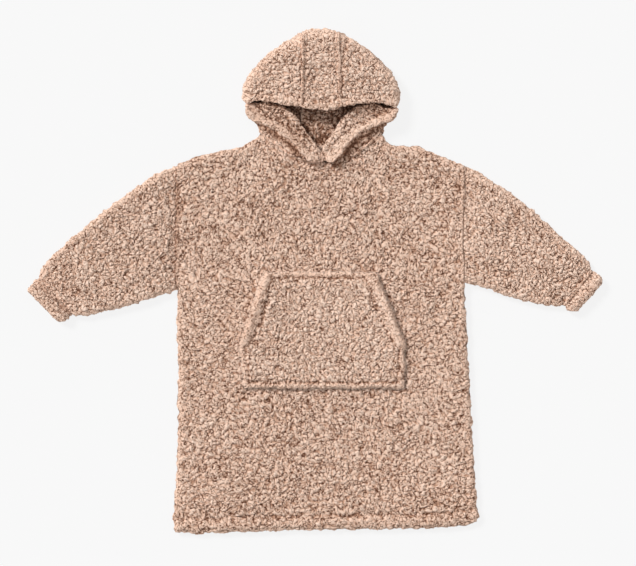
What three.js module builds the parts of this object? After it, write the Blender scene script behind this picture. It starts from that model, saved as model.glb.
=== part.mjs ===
// A child's oversized hooded sweatshirt of double-faced sherpa, laid flat on its back with the front up.
// Millimetres, +X to the wearer's left, +Y from the hem to the hood, +Z up off the surface it lies on.
// Every piece is a closed wall of lofty cloth, with an outer and an inner skin joined round its edges.

import * as THREE from "three";

// Cloth
const WALL = 7.6; // two pile faces on one knitted base
const SEAM_GAP = 0.3; // between pieces that are sewn together
const CURVED_SEAM_GAP = 0.6; // the same where the seam bends and both edges are made of short straights
const LAYER_GAP = 0.5; // between layers that lie on each other
const SLEEVE_SLIT = 3; // the flattened hollow of a sleeve or cuff
const HALF_WALL = WALL / 2;
const ARMHOLE_GAP = SEAM_GAP + 0.1;
const CUFF_GAP = SEAM_GAP * 1.2;
const POCKET_GAP = LAYER_GAP + 0.1;
const SEWN_SHARE = 0.86; // share of the wall's thickness that is left at a hood seam
const FREE_SHARE = 0.5; // and at its free edges

// Body
const BODY_TOP = 2 * WALL + LAYER_GAP + 0.4; // height of the front's outer face
const EDGE_ROUND = 15; // how far a folded edge rolls in from the outline
const UNDER_ROUND = 9; // the same on the underside
const UNDER_LIFT = 5.2; // how high the underside stands off the surface at such an edge
const EDGE_FACE = 1.2; // height of the front's face at the side seam
const SEAM_DIP = 0.3; // share of the wall that sinks at a sewn seam
const HEM_DEPTH = 26;
const HEM_GROOVE = 2.6;
const HEM_GROOVE_WIDTH = 3.5;
const HEM_LINE_STRETCH = 1.05; // the hem is this much wider than the shoulder line
const UNDERARM_Y = 446;
const UNDERARM_BLEND = 12; // height over which a folded side turns into a sewn armhole
const NECK_HALF = 112; // the neck seam lies between these, the shoulders outside them
const NECK_BLEND = 8; // width over which a shoulder turns into the neck seam
const FRONT_ROWS = { lower: 6, upper: 5 };
const BACK_ROWS = { lower: 3, upper: 5 };

// Places of the body's grid, as distances in from its sides, its hem and its upper edge
const SIDE_PLACES = [3, 8];
const HEM_PLACES = [0, 3, 9, 19, HEM_DEPTH, 32, 42];
const TOP_PLACES = [16, 8, 3, 0];

// Sleeves and cuffs
const FULL_WIDTH = 120; // a narrower section has its places scaled down
const FOLD_HEIGHT = 0.45; // where a section's folds lie, as a share of its height
const HOLLOW_TAPER = 0.4; // how the hollow narrows towards a fold
const HOLLOW_REACH = 1.7; // how far from a fold it does so, in walls
const TUBE_UNDER_ROUND = 1.2 * UNDER_ROUND;
const RIDGE_HEIGHT = 13.5; // sections lower than this have no ridges or troughs
const RIDGE_BLEND = 4;

// Hood
const HOOD_FLOOR = HALF_WALL; // middle of the layer that lies on the surface
const CROWN_LEVEL = 38; // middle of the layer on top, at the centre strip
const CROWN_RADIUS = (CROWN_LEVEL - HOOD_FLOOR) / 2;
const CROWN_SEAM_Y = 906; // where the crown fold begins at the strip's edges
const CROWN_BULGE = 5.5; // how far the strip's middle stands out at the crown
const NECK_LEVEL = 12.8; // middle of the layer that rises from the front neck seam
const ROLL_RADIUS = HALF_WALL + 0.5;
const RIM_LEVEL = 21.4;
const STRIP_DENT = { depth: 3.6, y: 846, reach: 30 };
const STRIP_HALF = 32; // half width of the centre strip at the crown
const BROW = { y: 785, drop: 6, rollY: 798, rollReach: 13, rollDrop: 3, rollShare: 1.12 };

// Places of the centre strip's grid: across it, and up its lower and down its upper part
const STRIP_ACROSS = [-1, -0.86, -0.5, 0, 0.5, 0.86, 1];
const STRIP_UNDER_PLACES = [716, 751, 786, 839, 880];
const STRIP_OVER_PLACES = [888, 870, 850, 830, 812, 798, 789, BROW.y];
const CROWN_SPANS = 7;

// Pocket
const POCKET = { bottom: 269, corner: 352, top: 481, hemRise: 2.8, hemWidth: 17, hemBlend: 8 };
const POCKET_GROOVE = { depth: 2.2, width: 3, fromEnds: 9, fromSides: 8 };
const POCKET_ROUND = { side: 8, end: 7 };
const POCKET_EDGE = EDGE_FACE * 1.5; // height of the pocket's face at its outline
const CORNER_BLEND = 16; // height over which a stitched side turns into an open hem
const POCKET_SIDES = [
  { y: POCKET.bottom, left: -142, right: 152 },
  { y: POCKET.corner, left: -150, right: 155 },
  { y: POCKET.top, left: -104, right: 102 },
];
const POCKET_LOW_HEIGHT = POCKET.corner - POCKET.bottom;
const POCKET_SLANT_HEIGHT = POCKET.top - POCKET.corner;
const POCKET_LOW_PLACES = [0, 3, 9, 14, 45, POCKET_LOW_HEIGHT - 8, POCKET_LOW_HEIGHT];
const POCKET_SLANT_PLACES = [
  14,
  45,
  80,
  POCKET_SLANT_HEIGHT - 15,
  POCKET_SLANT_HEIGHT - 9,
  POCKET_SLANT_HEIGHT - 3,
  POCKET_SLANT_HEIGHT,
];
const POCKET_EDGE_PLACES = [0, 3, 8, 13, 20];
const POCKET_MIDDLE_SHARES = [0.2, 0.34, 0.5, 0.66, 0.8];

// Outline of the body below the underarms, bottom to top, x of its two sides
const BODY_SIDES = [
  { y: -5, left: -264, right: 276 },
  { y: 4, left: -270, right: 280 },
  { y: 14, left: -273.5, right: 284 },
  { y: 24, left: -274, right: 290 },
  { y: 36, left: -273.5, right: 292 },
  { y: 50, left: -269, right: 288.5 },
  { y: 72, left: -268.5, right: 286.5 },
  { y: 117, left: -265.5, right: 283.5 },
  { y: 246, left: -262.5, right: 277 },
  { y: 305, left: -264, right: 272.5 },
  { y: 350, left: -266, right: 270 },
  { y: 394, left: -268, right: 268.5 },
  { y: 428, left: -269.5, right: 266.5 },
  { y: 446, left: -264, right: 264.5 },
];

// Armholes: where the sleeves' first sections lie, from the underarm to the shoulder
const ARMHOLE_RIGHT = { lowX: -264.4, lowY: 448, upX: -264.4, upY: 680, bow: 0 };
const ARMHOLE_LEFT = { lowX: 263.4, lowY: 461, upX: 265.4, upY: 677, bow: -4.6 };

const HEM_LINE = [
  { x: -274, y: 2 },
  { x: -241, y: -1 },
  { x: -204, y: 1 },
  { x: -121, y: 4 },
  { x: 0, y: 7 },
  { x: 200, y: 9 },
  { x: 239, y: 13 },
  { x: 265, y: 17 },
  { x: 290, y: 23 },
];

// Upper edge of the front: shoulder, neck seam, shoulder
const FRONT_TOP = [
  { x: -264, y: 680 },
  { x: -239, y: 693 },
  { x: -218, y: 699 },
  { x: -198, y: 704 },
  { x: -176, y: 707 },
  { x: -154, y: 712 },
  { x: -132, y: 719 },
  { x: -122, y: 728 },
  { x: -114, y: 736.5 },
  { x: -107.5, y: 737.2 },
  { x: -94.6, y: 725.2 },
  { x: -82.2, y: 712.2 },
  { x: -68, y: 702.2 },
  { x: -52.1, y: 695.8 },
  { x: -32.7, y: 690 },
  { x: -18.3, y: 684.5 },
  { x: 0, y: 683.6 },
  { x: 18.3, y: 684.5 },
  { x: 32.7, y: 690 },
  { x: 52.1, y: 695.8 },
  { x: 68, y: 702.2 },
  { x: 82.2, y: 712.2 },
  { x: 94.6, y: 725.2 },
  { x: 107.5, y: 737.2 },
  { x: 113.5, y: 735.5 },
  { x: 121, y: 721 },
  { x: 132, y: 715.5 },
  { x: 152, y: 715.5 },
  { x: 172, y: 715 },
  { x: 191, y: 710 },
  { x: 211, y: 703 },
  { x: 234, y: 692 },
  { x: 265, y: 678 },
];

// Upper edge of the back, whose neck seam is high
const BACK_TOP = [
  { x: -264, y: 680 },
  { x: -239, y: 693 },
  { x: -218, y: 699 },
  { x: -176, y: 707 },
  { x: -154, y: 712 },
  { x: -132, y: 719 },
  { x: -122, y: 728 },
  { x: -114, y: 736.5 },
  { x: -107.5, y: 737.2 },
  { x: -72, y: 725.7 },
  { x: -40, y: 715.5 },
  { x: 0, y: 715.4 },
  { x: 40, y: 715.5 },
  { x: 72, y: 725.7 },
  { x: 107.5, y: 737.2 },
  { x: 113.5, y: 735.5 },
  { x: 121, y: 721 },
  { x: 132, y: 715.5 },
  { x: 172, y: 715 },
  { x: 191, y: 710 },
  { x: 211, y: 703 },
  { x: 234, y: 692 },
  { x: 265, y: 678 },
];

// Largest folds of the laid cloth: soft ridges (rise over 0) and troughs along straight runs
const FOLDS = [
  { x1: -202, y1: 635, x2: -112, y2: 706, width: 22, rise: -3.4 },
  { x1: -236, y1: 628, x2: -178, y2: 681, width: 15, rise: 2.8 },
  { x1: 35, y1: 668, x2: 192, y2: 657, width: 20, rise: -2.8 },
  { x1: 192, y1: 657, x2: 220, y2: 551, width: 22, rise: -3.4 },
  { x1: 120, y1: 535, x2: 180, y2: 500, width: 30, rise: -2.4 },
  { x1: -252, y1: 490, x2: -132, y2: 492, width: 13, rise: -1.8 },
  { x1: -205, y1: 115, x2: -150, y2: 50, width: 40, rise: 2.6 },
  { x1: 60, y1: 150, x2: 120, y2: 80, width: 42, rise: -2.6 },
  { x1: 190, y1: 190, x2: 215, y2: 100, width: 34, rise: -2.6 },
  { x1: -322, y1: 620, x2: -283, y2: 575, width: 19, rise: 3.8 },
  { x1: -440, y1: 540, x2: -395, y2: 488, width: 20, rise: -2.8 },
  { x1: -497, y1: 482, x2: -465, y2: 455, width: 14, rise: -2.2 },
  { x1: -275, y1: 640, x2: -275, y2: 570, width: 15, rise: -2.8 },
  { x1: 285, y1: 524, x2: 414, y2: 487, width: 20, rise: 3.8 },
  { x1: 368, y1: 509, x2: 451, y2: 464, width: 12, rise: -2.8 },
  { x1: 288, y1: 501, x2: 316, y2: 487, width: 11, rise: -3 },
];

// Sleeves, armhole to cuff seam: ends of each section at the upper and the lower fold, and its height.
const SLEEVE_RIGHT = [
  { ...ARMHOLE_RIGHT, height: 14 },
  { upX: -294, upY: 671, lowX: -289, lowY: 441, height: 18.4 },
  { upX: -329, upY: 649, lowX: -316, lowY: 432, height: 19 },
  { upX: -359, upY: 627, lowX: -340, lowY: 424, height: 19 },
  { upX: -388, upY: 605, lowX: -364, lowY: 418, height: 19 },
  { upX: -416, upY: 583, lowX: -387, lowY: 411, height: 19 },
  { upX: -444, upY: 561, lowX: -407, lowY: 406, height: 19 },
  { upX: -470, upY: 538, lowX: -426, lowY: 403, height: 19 },
  { upX: -496, upY: 516, lowX: -441, lowY: 401, height: 18.6 },
  { upX: -514, upY: 495, lowX: -452, lowY: 401, height: 17.4 },
  { upX: -523.5, upY: 470.5, lowX: -461.5, lowY: 403.5, height: 14.4 },
];

const SLEEVE_LEFT = [
  { ...ARMHOLE_LEFT, height: 14 },
  { upX: 290, upY: 670, lowX: 283, lowY: 458.5, height: 18.4 },
  { upX: 320, upY: 649, lowX: 302, lowY: 453, height: 19 },
  { upX: 355, upY: 627, lowX: 322, lowY: 445, height: 19 },
  { upX: 383, upY: 605, lowX: 342, lowY: 438, height: 19 },
  { upX: 411, upY: 579, lowX: 363, lowY: 431, height: 19 },
  { upX: 437, upY: 557, lowX: 383, lowY: 426, height: 19 },
  { upX: 461, upY: 535, lowX: 401, lowY: 422, height: 19 },
  { upX: 480, upY: 517, lowX: 418, lowY: 420, height: 18.6 },
  { upX: 494, upY: 502, lowX: 434, lowY: 419.5, height: 17.4 },
  { upX: 501.5, upY: 487, lowX: 449, lowY: 421.5, height: 14.4 },
];

// Cuffs, from just past the sleeve's last section to the mouth
const CUFF_RIGHT = [
  { upX: -531, upY: 465, lowX: -464.5, lowY: 396, height: 18.4 },
  { upX: -537, upY: 459.5, lowX: -471.5, lowY: 390.8, height: 20 },
  { upX: -541.5, upY: 452, lowX: -480.5, lowY: 389.8, height: 19.4 },
  { upX: -541, upY: 445.5, lowX: -488, lowY: 392.6, height: 15.2 },
];

const CUFF_LEFT = [
  { upX: 509.5, upY: 482.6, lowX: 451, lowY: 415, height: 18.4 },
  { upX: 516, upY: 476.8, lowX: 455.8, lowY: 409.4, height: 20 },
  { upX: 520, upY: 469, lowX: 463.5, lowY: 407.2, height: 19.4 },
  { upX: 518.8, upY: 461, lowX: 472.2, lowY: 408.6, height: 15.2 },
];

// Side pieces of the hood, from the neck to the crown. Each section starts at the centre strip on the
// surface (seamY), runs out to the side fold and rises to its level. From the brow up it comes back over
// the top to the strip's other edge (frontY). Distances are out from the middle.
const HOOD_SECTIONS = [
  { seamY: 716, sideOut: 111, sideY: 739.4, level: NECK_LEVEL },
  { seamY: 731.5, sideOut: 113, sideY: 750.2, level: NECK_LEVEL },
  { seamY: 751, sideOut: 116, sideY: 762.2, level: NECK_LEVEL },
  { seamY: 771, sideOut: 123, sideY: 777.5, level: NECK_LEVEL },
  { seamY: 786, sideOut: 131, sideY: 789, level: NECK_LEVEL },
  { seamY: 799, sideOut: 139.6, sideY: 800.5, level: 26, frontY: 785 },
  { seamY: 819, sideOut: 140.2, sideY: 819, level: 31, frontY: 803.5 },
  { seamY: 839, sideOut: 133.5, sideY: 835, level: 32.5, frontY: 823 },
  { seamY: 857, sideOut: 124.5, sideY: 851, level: 33.5, frontY: 843 },
  { seamY: 873, sideOut: 109.5, sideY: 867, level: 34, frontY: 861 },
  { seamY: 884.5, sideOut: 92.5, sideY: 883, level: 34.5, frontY: 877 },
  { seamY: 892.5, sideOut: 74, sideY: 897, level: 34.5, frontY: 889 },
  { seamY: 897.5, sideOut: 54.5, sideY: 910, level: 34.5, frontY: 896.5 },
  { seamY: 900, sideOut: 32.6, sideY: CROWN_SEAM_Y + CROWN_RADIUS, level: CROWN_LEVEL, frontY: 900 },
];
const BROW_SECTION = 5; // the first section that comes back over the top

// Lower face edge of the hood: each section leaves the front neck seam or, higher up, the side fold,
// climbs to the roll and falls outward to the rim with the inner pile up. The wearer's right edge
// lies over the left one, so each has its own roll line near the crossing.
const LIP_SECTIONS = [
  {
    startOut: 18, startY: 685.4, overOut: -2.8, underOut: 12.6,
    rollY: 685.2, rollZ: 17.1, rimOut: 19.4, rimY: 684.6,
  },
  {
    startOut: 32.4, startY: 690.8, overOut: 0, underOut: 10.5,
    rollY: 696.5, rollZ: 18, rimOut: 30.5, rimY: 693,
  },
  {
    startOut: 51.8, startY: 696.6, overOut: 6.8, underOut: 4,
    rollY: 709.3, rollZ: 19, rimOut: 39.4, rimY: 703,
  },
  {
    startOut: 67.5, startY: 703, overOut: 14.8, underOut: 11,
    rollY: 721, rollZ: 20, rimOut: 46.2, rimY: 714,
  },
  {
    startOut: 81.6, startY: 712.9, overOut: 26.8, underOut: 21.5,
    rollY: 733.5, rollZ: 20.5, rimOut: 58.3, rimY: 726,
  },
  {
    startOut: 94, startY: 725.8, overOut: 34.2, underOut: 29.6,
    rollY: 748.3, rollZ: 20.5, rimOut: 74, rimY: 736.7,
  },
  {
    side: 0, overOut: 43.5, underOut: 38,
    rollY: 761.3, rollZ: 20.5, rimOut: 91.6, rimY: 746,
  },
  {
    side: 1, overOut: 55.5, underOut: 50,
    rollY: 773.4, rollZ: 20, rimOut: 110, rimY: 755.5,
  },
  {
    side: 2, overOut: 68.5, underOut: 63.8,
    rollY: 785.4, rollZ: 19, rimOut: 126, rimY: 765.5,
  },
  {
    side: 3, overOut: 86, underOut: 84,
    rollY: 793.5, rollZ: 17.6, rimOut: 135.5, rimY: 776,
  },
  {
    side: 4, overOut: 97, underOut: 97,
    rollY: 797.5, rollZ: 17.1, rimOut: 138.5, rimY: 785.2,
  },
];

// Half width of the centre strip on the surface and over the top
const STRIP_UNDER = [
  { y: 716, half: 39.5 },
  { y: 751, half: 36 },
  { y: 786, half: 33.6 },
  { y: 839, half: 32.4 },
  { y: 906, half: STRIP_HALF },
];
const STRIP_OVER = [
  { y: 785, half: 36.6 },
  { y: 803.5, half: 34.6 },
  { y: 843, half: 32.8 },
  { y: 906, half: STRIP_HALF },
];

const SHERPA_COLOUR = 0xc1a390;

function smoothstep(value) {
  const t = Math.min(Math.max(value, 0), 1);
  return t * t * (3 - 2 * t);
}

// Straight-line reading of a table: the value of one column where another has the given value.
function readTable(rows, at, key, column) {
  let next = rows.findIndex((row) => row[key] >= at);
  if (next === 0) return rows[0][column];
  if (next < 0) return rows[rows.length - 1][column];
  const before = rows[next - 1];
  const after = rows[next];
  const share = (at - before[key]) / (after[key] - before[key]);
  return THREE.MathUtils.lerp(before[column], after[column], share);
}

// Smooth rows between the rows of a table: each number follows a Catmull-Rom curve.
function refineRows(rows, steps) {
  const fine = [];
  for (let row = 0; row < rows.length - 1; row++) {
    for (let step = 0; step < steps; step++) fine.push(blendRows(rows, row, step / steps));
  }
  fine.push({ ...rows[rows.length - 1] });
  return fine;
}

function blendRows(rows, index, share) {
  const blended = {};
  const near = [rows[index - 1], rows[index], rows[index + 1], rows[index + 2]];
  for (const column of Object.keys(near[1])) {
    const from = near[1][column];
    const to = near[2][column];
    if (typeof from !== "number" || typeof to !== "number") continue;
    const before = near[0]?.[column] ?? from;
    const after = near[3]?.[column] ?? to;
    const inSlope = (to - before) / 2;
    const outSlope = (after - from) / 2;
    const s = share;
    blended[column] =
      from * (2 * s ** 3 - 3 * s ** 2 + 1) +
      inSlope * (s ** 3 - 2 * s ** 2 + s) +
      to * (3 * s ** 2 - 2 * s ** 3) +
      outSlope * (s ** 3 - s ** 2);
  }
  return blended;
}

// Height that the folds add at a place.
function foldRise(x, y) {
  const place = new THREE.Vector3(x, y, 0);
  const nearest = new THREE.Vector3();
  let rise = 0;
  for (const fold of FOLDS) {
    const start = new THREE.Vector3(fold.x1, fold.y1, 0);
    const end = new THREE.Vector3(fold.x2, fold.y2, 0);
    new THREE.Line3(start, end).closestPointToPoint(place, true, nearest);
    rise += fold.rise * bell(nearest.distanceTo(place), fold.width);
  }
  return rise;
}

// How far a bowed line stands off its chord.
function bowAt(bow, share) {
  return 4 * bow * share * (1 - share);
}

// Bell: 1 at a place and 0 well away from it.
function bell(distance, width) {
  return Math.exp(-((distance / width) ** 2));
}

// Quarter-round: 0 at an edge and 1 from the given distance inward.
function roundIn(distance, reach) {
  const short = 1 - Math.min(distance / reach, 1);
  return Math.sqrt(1 - short * short);
}

// Quads of a grid of rows and columns, whose columns may close into a ring.
function gridQuads(rowCount, columnCount, ring = false) {
  const quads = [];
  const spans = ring ? columnCount : columnCount - 1;
  for (let row = 0; row < rowCount - 1; row++) {
    for (let column = 0; column < spans; column++) {
      const next = (column + 1) % columnCount;
      const low = row * columnCount;
      const high = low + columnCount;
      quads.push([low + column, low + next, high + next, high + column]);
    }
  }
  return quads;
}

// One closed skin from an outer and an inner set of points with the same quads: the outer quads, the
// inner ones turned over, and a strip of wall along every free edge.
function closedShell(outer, inner, quads) {
  const count = outer.length;
  const faces = [];
  const edges = new Map();
  for (const [a, b, c, d] of quads) {
    faces.push([a, b, c], [a, c, d]);
    faces.push([a + count, c + count, b + count], [a + count, d + count, c + count]);
    for (const [from, to] of [[a, b], [b, c], [c, d], [d, a]]) {
      if (!edges.delete(`${to},${from}`)) edges.set(`${from},${to}`, [from, to]);
    }
  }
  for (const [from, to] of edges.values()) {
    faces.push([to, from, from + count], [to, from + count, to + count]);
  }
  const geometry = new THREE.BufferGeometry().setFromPoints([...outer, ...inner]);
  geometry.setIndex(faces.flat());
  geometry.computeVertexNormals();
  return geometry;
}

// A wall round a middle surface: each point moves both ways along its normal by its own half thickness.
// Points on the strip's seam keep their walls upright along it.
function thickened(middle, quads, halfAt, onStripSeam) {
  const skin = new THREE.BufferGeometry().setFromPoints(middle);
  skin.setIndex(quads.flatMap(([a, b, c, d]) => [a, b, c, a, c, d]));
  skin.computeVertexNormals();
  const normals = middle.map((_, index) => {
    const normal = new THREE.Vector3().fromBufferAttribute(skin.attributes.normal, index);
    return onStripSeam(index) ? normal.setX(0).normalize() : normal;
  });
  const moved = (way) => middle.map((point, index) =>
    point.clone().addScaledVector(normals[index], way * halfAt(index)));
  return closedShell(moved(1), moved(-1), quads);
}

function cloth(name, geometry) {
  const material = new THREE.MeshStandardMaterial({ color: SHERPA_COLOUR, roughness: 0.95, metalness: 0 });
  const mesh = new THREE.Mesh(geometry, material);
  mesh.name = name;
  return mesh;
}

// Where the body's side lies at a height: the outline, or the armhole above the underarm.
function bodySide(y, column, armhole) {
  if (y <= UNDERARM_Y) return readTable(BODY_SIDES, y, "y", column);
  const share = Math.min((y - armhole.lowY) / (armhole.upY - armhole.lowY), 1);
  const x = THREE.MathUtils.lerp(armhole.lowX, armhole.upX, share) + bowAt(armhole.bow, share);
  return x - Math.sign(x) * ARMHOLE_GAP;
}

// Grid over the body's outline. Each point knows how far it lies from the side, the top and the hem.
function bodyGrid(topLine, rowCounts) {
  const first = topLine[0];
  const span = topLine.at(-1).x - first.x;
  const shares = [
    ...topLine.map((row) => (row.x - first.x) / span),
    ...SIDE_PLACES.flatMap((step) => [step / span, 1 - step / span]),
  ].sort((a, b) => a - b);
  const lowerRow = (row) => (low) =>
    THREE.MathUtils.lerp(low + HEM_PLACES.at(-1), UNDERARM_Y, (row + 1) / rowCounts.lower);
  const upperRow = (row) => (low, high) =>
    THREE.MathUtils.lerp(UNDERARM_Y, high - TOP_PLACES[0], (row + 1) / (rowCounts.upper + 1));
  const rows = [
    ...HEM_PLACES.map((step) => (low) => low + step),
    ...Array.from({ length: rowCounts.lower }, (_, row) => lowerRow(row)),
    ...Array.from({ length: rowCounts.upper }, (_, row) => upperRow(row)),
    ...TOP_PLACES.map((step) => (low, high) => high - step),
  ];
  const points = [];
  for (const rowY of rows) {
    for (const share of shares) {
      const topX = first.x + span * share;
      const low = readTable(HEM_LINE, topX * HEM_LINE_STRETCH, "x", "y");
      const high = readTable(topLine, topX, "x", "y");
      const y = rowY(low, high);
      const left = bodySide(y, "left", ARMHOLE_RIGHT);
      const right = bodySide(y, "right", ARMHOLE_LEFT);
      const x = THREE.MathUtils.lerp(left, right, share);
      const fromSide = Math.min(share, 1 - share) * (right - left);
      points.push({ x, y, fromHem: y - low, fromTop: high - y, fromSide });
    }
  }
  return { points, quads: gridQuads(rows.length, shares.length) };
}

// How far a point of the body belongs to the armhole's and to the neck's seam, from 0 to 1.
function sewnShares(point) {
  return {
    side: smoothstep((point.y - UNDERARM_Y + UNDERARM_BLEND / 3) / UNDERARM_BLEND),
    top: smoothstep((NECK_HALF + NECK_BLEND / 2 - Math.abs(point.x)) / NECK_BLEND),
  };
}

// How full the cloth is at a point of the body: less at rolled edges, a little less at sewn ones.
function bodyFullness(point, reach) {
  const atSide = roundIn(point.fromSide, reach);
  const atTop = roundIn(point.fromTop, reach);
  const sewn = sewnShares(point);
  const side = THREE.MathUtils.lerp(atSide, 1 - SEAM_DIP * (1 - atSide), sewn.side);
  const top = THREE.MathUtils.lerp(atTop, 1 - SEAM_DIP * (1 - atTop), sewn.top);
  return side * top * roundIn(point.fromHem, reach);
}

// The underside stays flat at sewn edges.
function bodyUnderside(point) {
  const sewn = sewnShares(point);
  const side = 1 - (1 - roundIn(point.fromSide, UNDER_ROUND)) * (1 - sewn.side);
  const top = 1 - (1 - roundIn(point.fromTop, UNDER_ROUND)) * (1 - sewn.top);
  return UNDER_LIFT * (1 - side * top * roundIn(point.fromHem, UNDER_ROUND));
}

function frontFace(x, y) {
  return BODY_TOP + foldRise(x, y);
}

function makeFront() {
  const { points, quads } = bodyGrid(FRONT_TOP, FRONT_ROWS);
  const under = WALL + LAYER_GAP;
  const edge = under + EDGE_FACE;
  const outer = points.map((point) => {
    const groove = HEM_GROOVE * bell(point.fromHem - HEM_DEPTH, HEM_GROOVE_WIDTH);
    const full = frontFace(point.x, point.y) - groove - edge;
    return new THREE.Vector3(point.x, point.y, edge + full * bodyFullness(point, EDGE_ROUND));
  });
  const inner = points.map((point) => new THREE.Vector3(point.x, point.y, under));
  return cloth("front", closedShell(outer, inner, quads));
}

function makeBack() {
  const { points, quads } = bodyGrid(BACK_TOP, BACK_ROWS);
  const outer = points.map((point) => new THREE.Vector3(point.x, point.y, WALL));
  const inner = points.map((point) => new THREE.Vector3(point.x, point.y, bodyUnderside(point)));
  return cloth("back", closedShell(outer, inner, quads));
}

// The first section of a cuff: the sleeve's last one, moved on by the seam's gap.
function afterSeam(section) {
  const low = new THREE.Vector2(section.lowX, section.lowY);
  const up = new THREE.Vector2(section.upX, section.upY);
  const along = low.sub(up).normalize();
  const outward = Math.sign(section.upX);
  const step = {
    x: Math.abs(along.y) * outward * CUFF_GAP,
    y: -Math.abs(along.x) * CUFF_GAP,
  };
  return {
    upX: section.upX + step.x,
    upY: section.upY + step.y,
    lowX: section.lowX + step.x,
    lowY: section.lowY + step.y,
    height: section.height,
  };
}

// Places round a flattened tube's section, as distances in from one of its two folds
const RING_IN = [3, 8, 16];
const RING_MIDDLE = 6; // places between, over the top
const RING_UNDER_IN = [4, 12];
const RING_UNDER_MIDDLE = 3; // and along the underside

// Shares of the width at which a section has points on its upper face.
function ringShares(width, steps, middleCount) {
  const edges = steps.map((step) => step / width);
  const last = edges[edges.length - 1];
  const middle = Array.from({ length: middleCount }, (_, place) =>
    THREE.MathUtils.lerp(last, 1 - last, (place + 1) / (middleCount + 1)));
  return [...edges, ...middle, ...edges.map((edge) => 1 - edge).reverse()];
}

// Outer and inner points of one section of a flattened tube that lies on the surface.
function tubeRing(section) {
  const up = new THREE.Vector3(section.upX, section.upY, 0);
  const low = new THREE.Vector3(section.lowX, section.lowY, 0);
  const width = up.distanceTo(low);
  const scale = Math.min(1, width / FULL_WIDTH);
  const scaled = (steps) => steps.map((step) => step * scale);
  const side = section.height * FOLD_HEIGHT;
  const middle = section.height / 2;
  const wall = (section.height - SLEEVE_SLIT) / 2;
  const ring = { outer: [], inner: [] };
  const fromFold = (share) => Math.min(share, 1 - share) * width;
  const place = (share, z) => {
    const at = new THREE.Vector3().lerpVectors(up, low, share);
    return at.setZ(z);
  };
  const add = (share, z, innerZ) => {
    const distance = fromFold(share);
    const inset = Math.max(distance, wall + distance * HOLLOW_TAPER) / width;
    const tapered = share < 0.5 ? inset : 1 - inset;
    const innerShare = distance < wall * HOLLOW_REACH ? tapered : share;
    const bowed = new THREE.Vector3(bowAt(section.bow ?? 0, share), 0, 0);
    ring.outer.push(place(share, z).add(bowed));
    ring.inner.push(place(innerShare, innerZ).add(bowed));
  };
  add(0, side, middle);
  for (const share of ringShares(width, scaled(RING_IN), RING_MIDDLE)) {
    const round = roundIn(fromFold(share), EDGE_ROUND * scale);
    const at = place(share, 0);
    const lofty = smoothstep((section.height - RIDGE_HEIGHT) / RIDGE_BLEND);
    const rise = foldRise(at.x, at.y) * lofty;
    const slit = (SLEEVE_SLIT / 2) * round;
    add(share, side + (section.height + rise - side) * round, middle + slit);
  }
  add(1, side, middle);
  for (const share of ringShares(width, scaled(RING_UNDER_IN), RING_UNDER_MIDDLE).reverse()) {
    const distance = fromFold(share);
    const slit = (SLEEVE_SLIT / 2) * roundIn(distance, EDGE_ROUND * scale);
    add(share, side * (1 - roundIn(distance, TUBE_UNDER_ROUND * scale)), middle - slit);
  }
  return ring;
}

// A sleeve or cuff: a flattened tube through its sections, open at both ends.
function makeTube(name, sections) {
  const rings = sections.map(tubeRing);
  const count = rings[0].outer.length;
  const outer = rings.flatMap((ring) => ring.outer);
  const inner = rings.flatMap((ring) => ring.inner);
  const leftward = sections[1].upX < sections[0].upX;
  const quads = gridQuads(rings.length, count, true);
  const facing = leftward ? quads.map(([a, b, c, d]) => [a, d, c, b]) : quads;
  return cloth(name, closedShell(outer, inner, facing));
}

// The strip's middle surface: up the surface, round the crown and down over the top to the brow.
function makeHoodCentre() {
  const lines = [];
  for (const y of STRIP_UNDER_PLACES) {
    const half = readTable(STRIP_UNDER, y, "y", "half");
    lines.push(STRIP_ACROSS.map((share) => new THREE.Vector3(share * half, y, HOOD_FLOOR)));
  }
  for (let turn = 0; turn <= CROWN_SPANS; turn++) {
    const angle = -Math.PI / 2 + (Math.PI * turn) / CROWN_SPANS;
    const z = HOOD_FLOOR + CROWN_RADIUS * (1 + Math.sin(angle));
    lines.push(STRIP_ACROSS.map((share) => {
      const out = CROWN_RADIUS + CROWN_BULGE * (1 - share * share) * Math.cos(angle);
      return new THREE.Vector3(share * STRIP_HALF, CROWN_SEAM_Y + out * Math.cos(angle), z);
    }));
  }
  for (const y of STRIP_OVER_PLACES) {
    const half = readTable(STRIP_OVER, y, "y", "half");
    const dent = STRIP_DENT.depth * bell(y - STRIP_DENT.y, STRIP_DENT.reach);
    const rolled = BROW.rollDrop * smoothstep((BROW.rollY - y) / BROW.rollReach);
    const drop = y === BROW.y ? BROW.drop : rolled;
    lines.push(STRIP_ACROSS.map((share) => {
      const middle = 1 - share * share;
      return new THREE.Vector3(share * half, y - drop * middle, CROWN_LEVEL - dent * middle);
    }));
  }
  const count = STRIP_ACROSS.length;
  const lastLine = lines.length - 1;
  const onSeam = (index) => index % count === 0 || index % count === count - 1;
  const halfAt = (index) => {
    const line = Math.floor(index / count);
    if (line === lastLine) return HALF_WALL * FREE_SHARE;
    if (line === lastLine - 2) return HALF_WALL * BROW.rollShare;
    return onSeam(index) ? HALF_WALL * SEWN_SHARE : HALF_WALL;
  };
  const quads = gridQuads(lines.length, count).map(([a, b, c, d]) => [a, d, c, b]);
  return cloth("hood_centre", thickened(lines.flat(), quads, halfAt, onSeam));
}

const HOOD_STEPS = 2; // sections made between two rows of the hood's tables
const FLOOR_SPANS = 3;
const FOLD_SPANS = 6;
const OVER_SPANS = 5;
const STAND_SPANS = 3;
const ROLL_SPANS = 4;
const FALL_SPANS = 4;

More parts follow.
